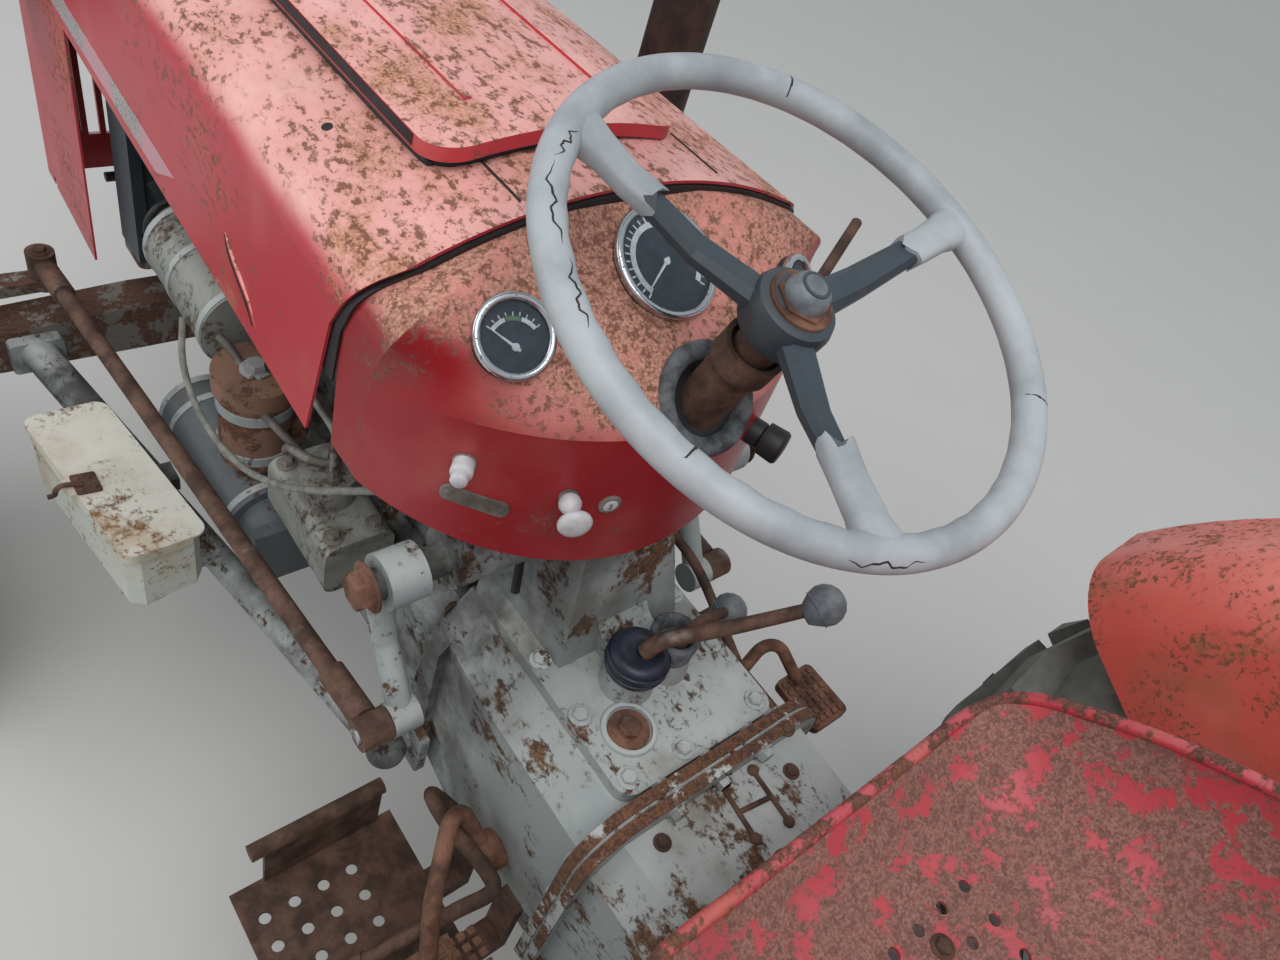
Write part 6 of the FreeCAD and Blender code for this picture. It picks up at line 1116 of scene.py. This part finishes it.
FILTER_X, FILTER_Y = 190, -1370
met = landed("oil_filter", spot(FILTER_X, FILTER_Y - 200, 760), BACK)
filter_radius = (spot(FILTER_X, FILTER_Y, 760) - met[0]).length * 1000
for height in (720, 790):
    ringed(bands, spot(FILTER_X, FILTER_Y, height), UP, [(-7, filter_radius - 0.5), (-7, filter_radius + 2.2), (7, filter_radius + 2.2),
                                                        (7, filter_radius - 0.5)], 40)
hexagon(bands, spot(FILTER_X, FILTER_Y, 836), UP, 13, 12)
for node, stations in (("starter_motor", (-1536, -1500, -1322)), ("dynamo", (-1616, -1540, -1442))):
    met = landed(node, spot(500, stations[1], 0) + Vector((0, 0, (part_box(node)[0].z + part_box(node)[1].z) / 2)), -LEFT)
    middle_z = met[0].z
    top = landed(node, Vector((0, met[0].y, 0)) + Vector((met[0].x - 0.03, 0, 1.3)), -UP)
    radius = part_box(node)[1].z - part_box(node)[0].z
    radius = radius * 500
    axis = Vector((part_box(node)[1].x - radius / 1000, 0, middle_z))
    for y in stations:
        here = Vector((axis.x, spot(0, y, 0).y, axis.z))
        ringed(bands, here, BACK, [(-5, radius - 1), (-5, radius + 1.4), (5, radius + 1.4), (5, radius - 1)], 44)
    for angle in (50, 140, 230, 320):
        offset = Vector((math.cos(math.radians(angle)), 0, math.sin(math.radians(angle)))) * (radius - 14) / 1000
        hexagon(bands, Vector((axis.x, spot(0, stations[0] - 6, 0).y, axis.z)) + offset, -BACK, 6, 5)
piece("engine_bands", bands, ARM_GREY, "frame")
pump_low, pump_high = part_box("injection_pump")
for x, y in ((156, -1246), (206, -1246), (206, -1126), (156, -1126), (182, -1190)):
    met = landed("injection_pump", spot(x, y, 812), -UP)
    if met:
        hexagon(unions, met[0], UP, 8, 9)
for x, y in ((168, -1206), (177, -1190), (186, -1174)):
    turned(unions, spot(x, y, 834), UP, [(0, 9), (10, 9), (11, 6.4), (20, 6)], 6)
piece("pump_unions", unions, ALUMINIUM, "frame")
print("filter bowl radius measured:", round(filter_radius, 1), "mm")

# %% Pipes, cables and belt
PIPES = [
    [(212, -1425, 850), (205, -1407, 842), (200, -1370, 826), (200, -1329, 808), (194, -1290, 806), (184, -1256, 800)],
    [(200, -1262, 806), (205, -1240, 832), (196, -1206, 842), (180, -1190, 846)],
]
bm = bmesh.new()
for path in PIPES:
    swept(bm, [spot(*place) for place in path], 5.2, 12)
piece("fuel_pipes", bm, ALUMINIUM, "frame", 60)
CABLES = [
    ([(150, -1040, 1010), (148, -1010, 960), (128, -995, 900), (118, -1000, 830)], 6.0),
    ([(120, -1030, 1000), (112, -1000, 940), (104, -985, 880), (96, -1002, 826)], 4.5),
    ([(90, -1020, 1000), (96, -985, 952), (86, -962, 900), (88, -950, 848)], 5.0),
    ([(60, -1015, 1000), (72, -985, 950), (110, -975, 905), (140, -1010, 850), (136, -1060, 800)], 4.0),
]
bm = bmesh.new()
for path, radius in CABLES:
    swept(bm, [spot(*place) for place in path], radius, 10)
piece("wiring_under_the_dash", bm, RUBBER, "frame", 60)


def around_circles(circles, steps=40):
    """The loop that a belt takes round pulleys, as (x, z) points: the convex hull of their rims."""
    rim = sorted({(round(x + r * math.cos(2 * math.pi * k / steps), 3), round(z + r * math.sin(2 * math.pi * k / steps), 3))
                  for x, z, r in circles for k in range(steps)})

    def half(points):
        chain = []
        for p in points:
            while len(chain) > 1 and ((chain[-1][0] - chain[-2][0]) * (p[1] - chain[-2][1])
                                      - (chain[-1][1] - chain[-2][1]) * (p[0] - chain[-2][0])) <= 0:
                chain.pop()
            chain.append(p)
        return chain[:-1]

    return half(rim) + half(rim[::-1])


pump_z = (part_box("fan")[0].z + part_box("fan")[1].z) * 500
loop = around_circles([(0, 622, 58), (172, 842, 41), (0, pump_z, 47)])
bm = bmesh.new()
swept(bm, [spot(x, -1657 if x > 60 else -1660, z) for x, z in loop], 5.5, 8, closed=True, steps=2)
piece("fan_belt", bm, RUBBER, "frame", 60)
print("belt loop has", len(loop), "points")

# %% Steering box top, shaft nuts and switch
bm = bmesh.new()
plate(bm, round_corners(66, 62, 16), lambda a, b, c: spot(a, b - 957, c), 944, 957, 2)
for index, (x, y) in enumerate(((52, -1005), (52, -909), (-52, -1005), (-52, -909))):
    hexagon(bm, spot(x, y, 957), UP, 10, 9, 1.3, index)
piece("steering_box_top", bm, CAST_GREY, "frame")
bm = bmesh.new()
for sign in (1, -1):
    hexagon(bm, spot(sign * 247.5, -980, 915), LEFT * sign, 21, 17, 1.25)
piece("cross_shaft_nuts", bm, ORANGE_RUST, "frame")
bm = bmesh.new()
switch_foot, switch_out = dash_point("dash_shell", -100, 1080)
turned(bm, switch_foot, switch_out, [(-2, 14), (12, 14), (14, 12.5), (15, 17), (34, 18), (37, 16), (38, 8), (38.4, 0)], 28)
piece("lamp_switch", bm, RUBBER, "frame", 50)
for side, sign in (("left", 1), ("right", -1)):
    bolts(f"kingpin_nut_{side}", [(f"knuckle_{side}", spot(sign * 486, -1830, 900), -UP)], RUST, f"knuckle_{side}", 17, 14)
    bolts(f"link_nut_{side}", [(f"drag_link_{side}", spot(sign * 310, -1830, 900), -UP)], RUST, f"drag_link_{side}", 9, 8)

# %% Toolbox hasp, wheel valves and axle bolts
bm = bmesh.new()
lid_point, lid_normal = landed("toolbox_lid", spot(384, -1402, 900), -UP)
lid_out = (LEFT - lid_normal * LEFT.dot(lid_normal)).normalized()
lid_along = lid_normal.cross(lid_out)
plate(bm, round_corners(14, 17, 3), lambda a, b, c: lid_point + (lid_out * a + lid_along * b + lid_normal * c) / 1000, -1.5, 2.6, 0.6)
for a, b in ((-7, -9), (-7, 9), (7, -9), (7, 9)):
    turned(bm, lid_point + (lid_out * a + lid_along * b + lid_normal * 2.4) / 1000, lid_normal, [(0, 3), (1.2, 2.6), (1.8, 0)], 10)
swept(bm, [lid_point + (lid_out * a + lid_along * b + lid_normal * c) / 1000
           for a, b, c in ((6, 3, 4), (16, 2, 6), (27, 0, 4), (32, -2, -4), (33, -3, -12), (40, -4, -15))], 3.2, 10)
piece("toolbox_hasp", bm, RUST, "toolbox_lid")
for side, sign in (("left", 1), ("right", -1)):
    for wheel, y, z, reach in (("rear_wheel", 0, 617, 322), ("front_wheel", -1830, 367, 178)):
        met = landed(f"{wheel}_{side}", spot(sign * 900, y, z + reach), -LEFT * sign)
        bm = bmesh.new()
        turned(bm, met[0] - LEFT * sign * 0.002, LEFT * sign, [(0, 7), (5, 6.5), (7, 4), (26, 4), (26.5, 4.8), (34, 4.8), (35, 3.6)], 14)
        piece(f"{wheel}_valve_{side}", bm, RUBBER, f"{wheel}_{side}")
axle_rays = []
for k in range(10):
    angle = 2 * math.pi * (k + 0.5) / 10
    axle_rays.append(("rear_housing", spot(428, 125 * math.cos(angle), 617 + 125 * math.sin(angle)), -LEFT))
bolts("axle_tube_bolts", mirrored_rays(axle_rays), RUST, "frame", 10, 8)

# %% Power take-off splines and exhaust clamp
pto_low, pto_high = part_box("pto_shaft")
bm = bmesh.new()
SPLINES = 6
for k in range(SPLINES):
    angle = 2 * math.pi * k / SPLINES
    out = Vector((math.cos(angle), 0, math.sin(angle)))
    side = Vector((-out.z, 0, out.x))
    centre_line = Vector((0, 0, 0.560))
    rings = []
    for y, high in ((pto_high.y - 0.060, 16.0), (pto_high.y - 0.056, 17.3), (pto_high.y - 0.004, 17.3), (pto_high.y - 0.0006, 15.6)):
        rings.append([bm.verts.new(centre_line + Vector((0, y, 0)) + (out * a + side * b) / 1000)
                      for a, b in ((14, -4.4), (high, -3.6), (high + 0.25, 0), (high, 3.6), (14, 4.4))])
    bridge(bm, rings)
piece("pto_splines", bm, WORN_STEEL, "frame")
PIPE_X, PIPE_Y = -327, -1365
bm = bmesh.new()
for height in (1010, 1130, 1700):
    met = landed("exhaust", spot(PIPE_X - 300, PIPE_Y, height), LEFT)
    if not met:
        continue
    pipe_radius = (spot(PIPE_X, PIPE_Y, height) - met[0]).length * 1000
    ringed(bm, spot(PIPE_X, PIPE_Y, height), UP, [(-9, pipe_radius - 0.6), (-9, pipe_radius + 2.4), (-3, pipe_radius + 2.4), (0, pipe_radius + 1.6),
                                                  (3, pipe_radius + 2.4), (9, pipe_radius + 2.4), (9, pipe_radius - 0.6)], 40)
    hexagon(bm, spot(PIPE_X - pipe_radius - 1, PIPE_Y, height), -LEFT, 8, 12)
    print("exhaust at", height, "mm up is", round(2 * pipe_radius), "mm across")
piece("exhaust_clamps", bm, RUST, "frame")

# %% [markdown]
# ## Floor, light and camera
# The photograph was taken from above and behind the tractor's left side, with a wide lens, under a
# cloudy sky. A large soft light from above and a pale surrounding give the same even shade.

# %% Stage


def plain(name, colour, rough=0.8):
    material, tree, shader, place = new_material(name)
    grain = noise(tree, place.outputs["Object"], 3.0, 6.0)
    tree.links.new(blend(tree, math_node(tree, "MULTIPLY", grain, 0.25), colour, "#C4C2BE"), shader.inputs["Base Color"])
    shader.inputs["Roughness"].default_value = rough
    return material


floor_mesh = bpy.data.meshes.new("floor")
floor_mesh.from_pydata([(-90, -90, 0), (90, -90, 0), (90, 90, 0), (-90, 90, 0)], [], [(0, 1, 2, 3)])
floor = bpy.data.objects.new("floor", floor_mesh)
bpy.context.collection.objects.link(floor)
floor.data.materials.append(plain("pale studio floor", "#D8D6D2"))

world = bpy.data.worlds.new("pale sky")
bpy.context.scene.world = world
world.use_nodes = True
world.node_tree.nodes["Background"].inputs["Color"].default_value = linear("#E4E9EE")
world.node_tree.nodes["Background"].inputs["Strength"].default_value = 0.62


def soft_light(name, place, aim, size, power):
    light = bpy.data.lights.new(name, "AREA")
    light.shape = "DISK"
    light.size = size
    light.energy = power
    lamp = bpy.data.objects.new(name, light)
    lamp.location = place
    lamp.rotation_euler = (Vector(aim) - Vector(place)).to_track_quat("-Z", "Y").to_euler()
    bpy.context.collection.objects.link(lamp)


soft_light("sky light", (1.5, 1.5, 5.0), (0, 0, 0.8), 4.0, 125)
soft_light("side light", (3.5, -3.0, 2.6), (0, -0.3, 0.8), 3.0, 40)

RIGHT = Vector((-0.7599, 0.5888, 0.2754))
DOWN = Vector((0.2919, 0.6877, -0.6647))
AHEAD = Vector((-0.5807, -0.4248, -0.6945))
EYE = Vector((0.535, -0.527 + AXLE_Y, 1.660))
camera_data = bpy.data.cameras.new("photo camera")
camera_data.sensor_width = 36.0
camera_data.lens = 942 / 1280 * 36.0
camera_data.clip_start = 0.02
camera = bpy.data.objects.new("photo camera", camera_data)
turn = Matrix((RIGHT, -DOWN, -AHEAD)).transposed().to_4x4()
camera.matrix_world = Matrix.Translation(EYE) @ turn
bpy.context.collection.objects.link(camera)
bpy.context.scene.camera = camera
bpy.context.scene.view_settings.view_transform = "Standard"
print("camera at", [round(c, 3) for c in EYE])
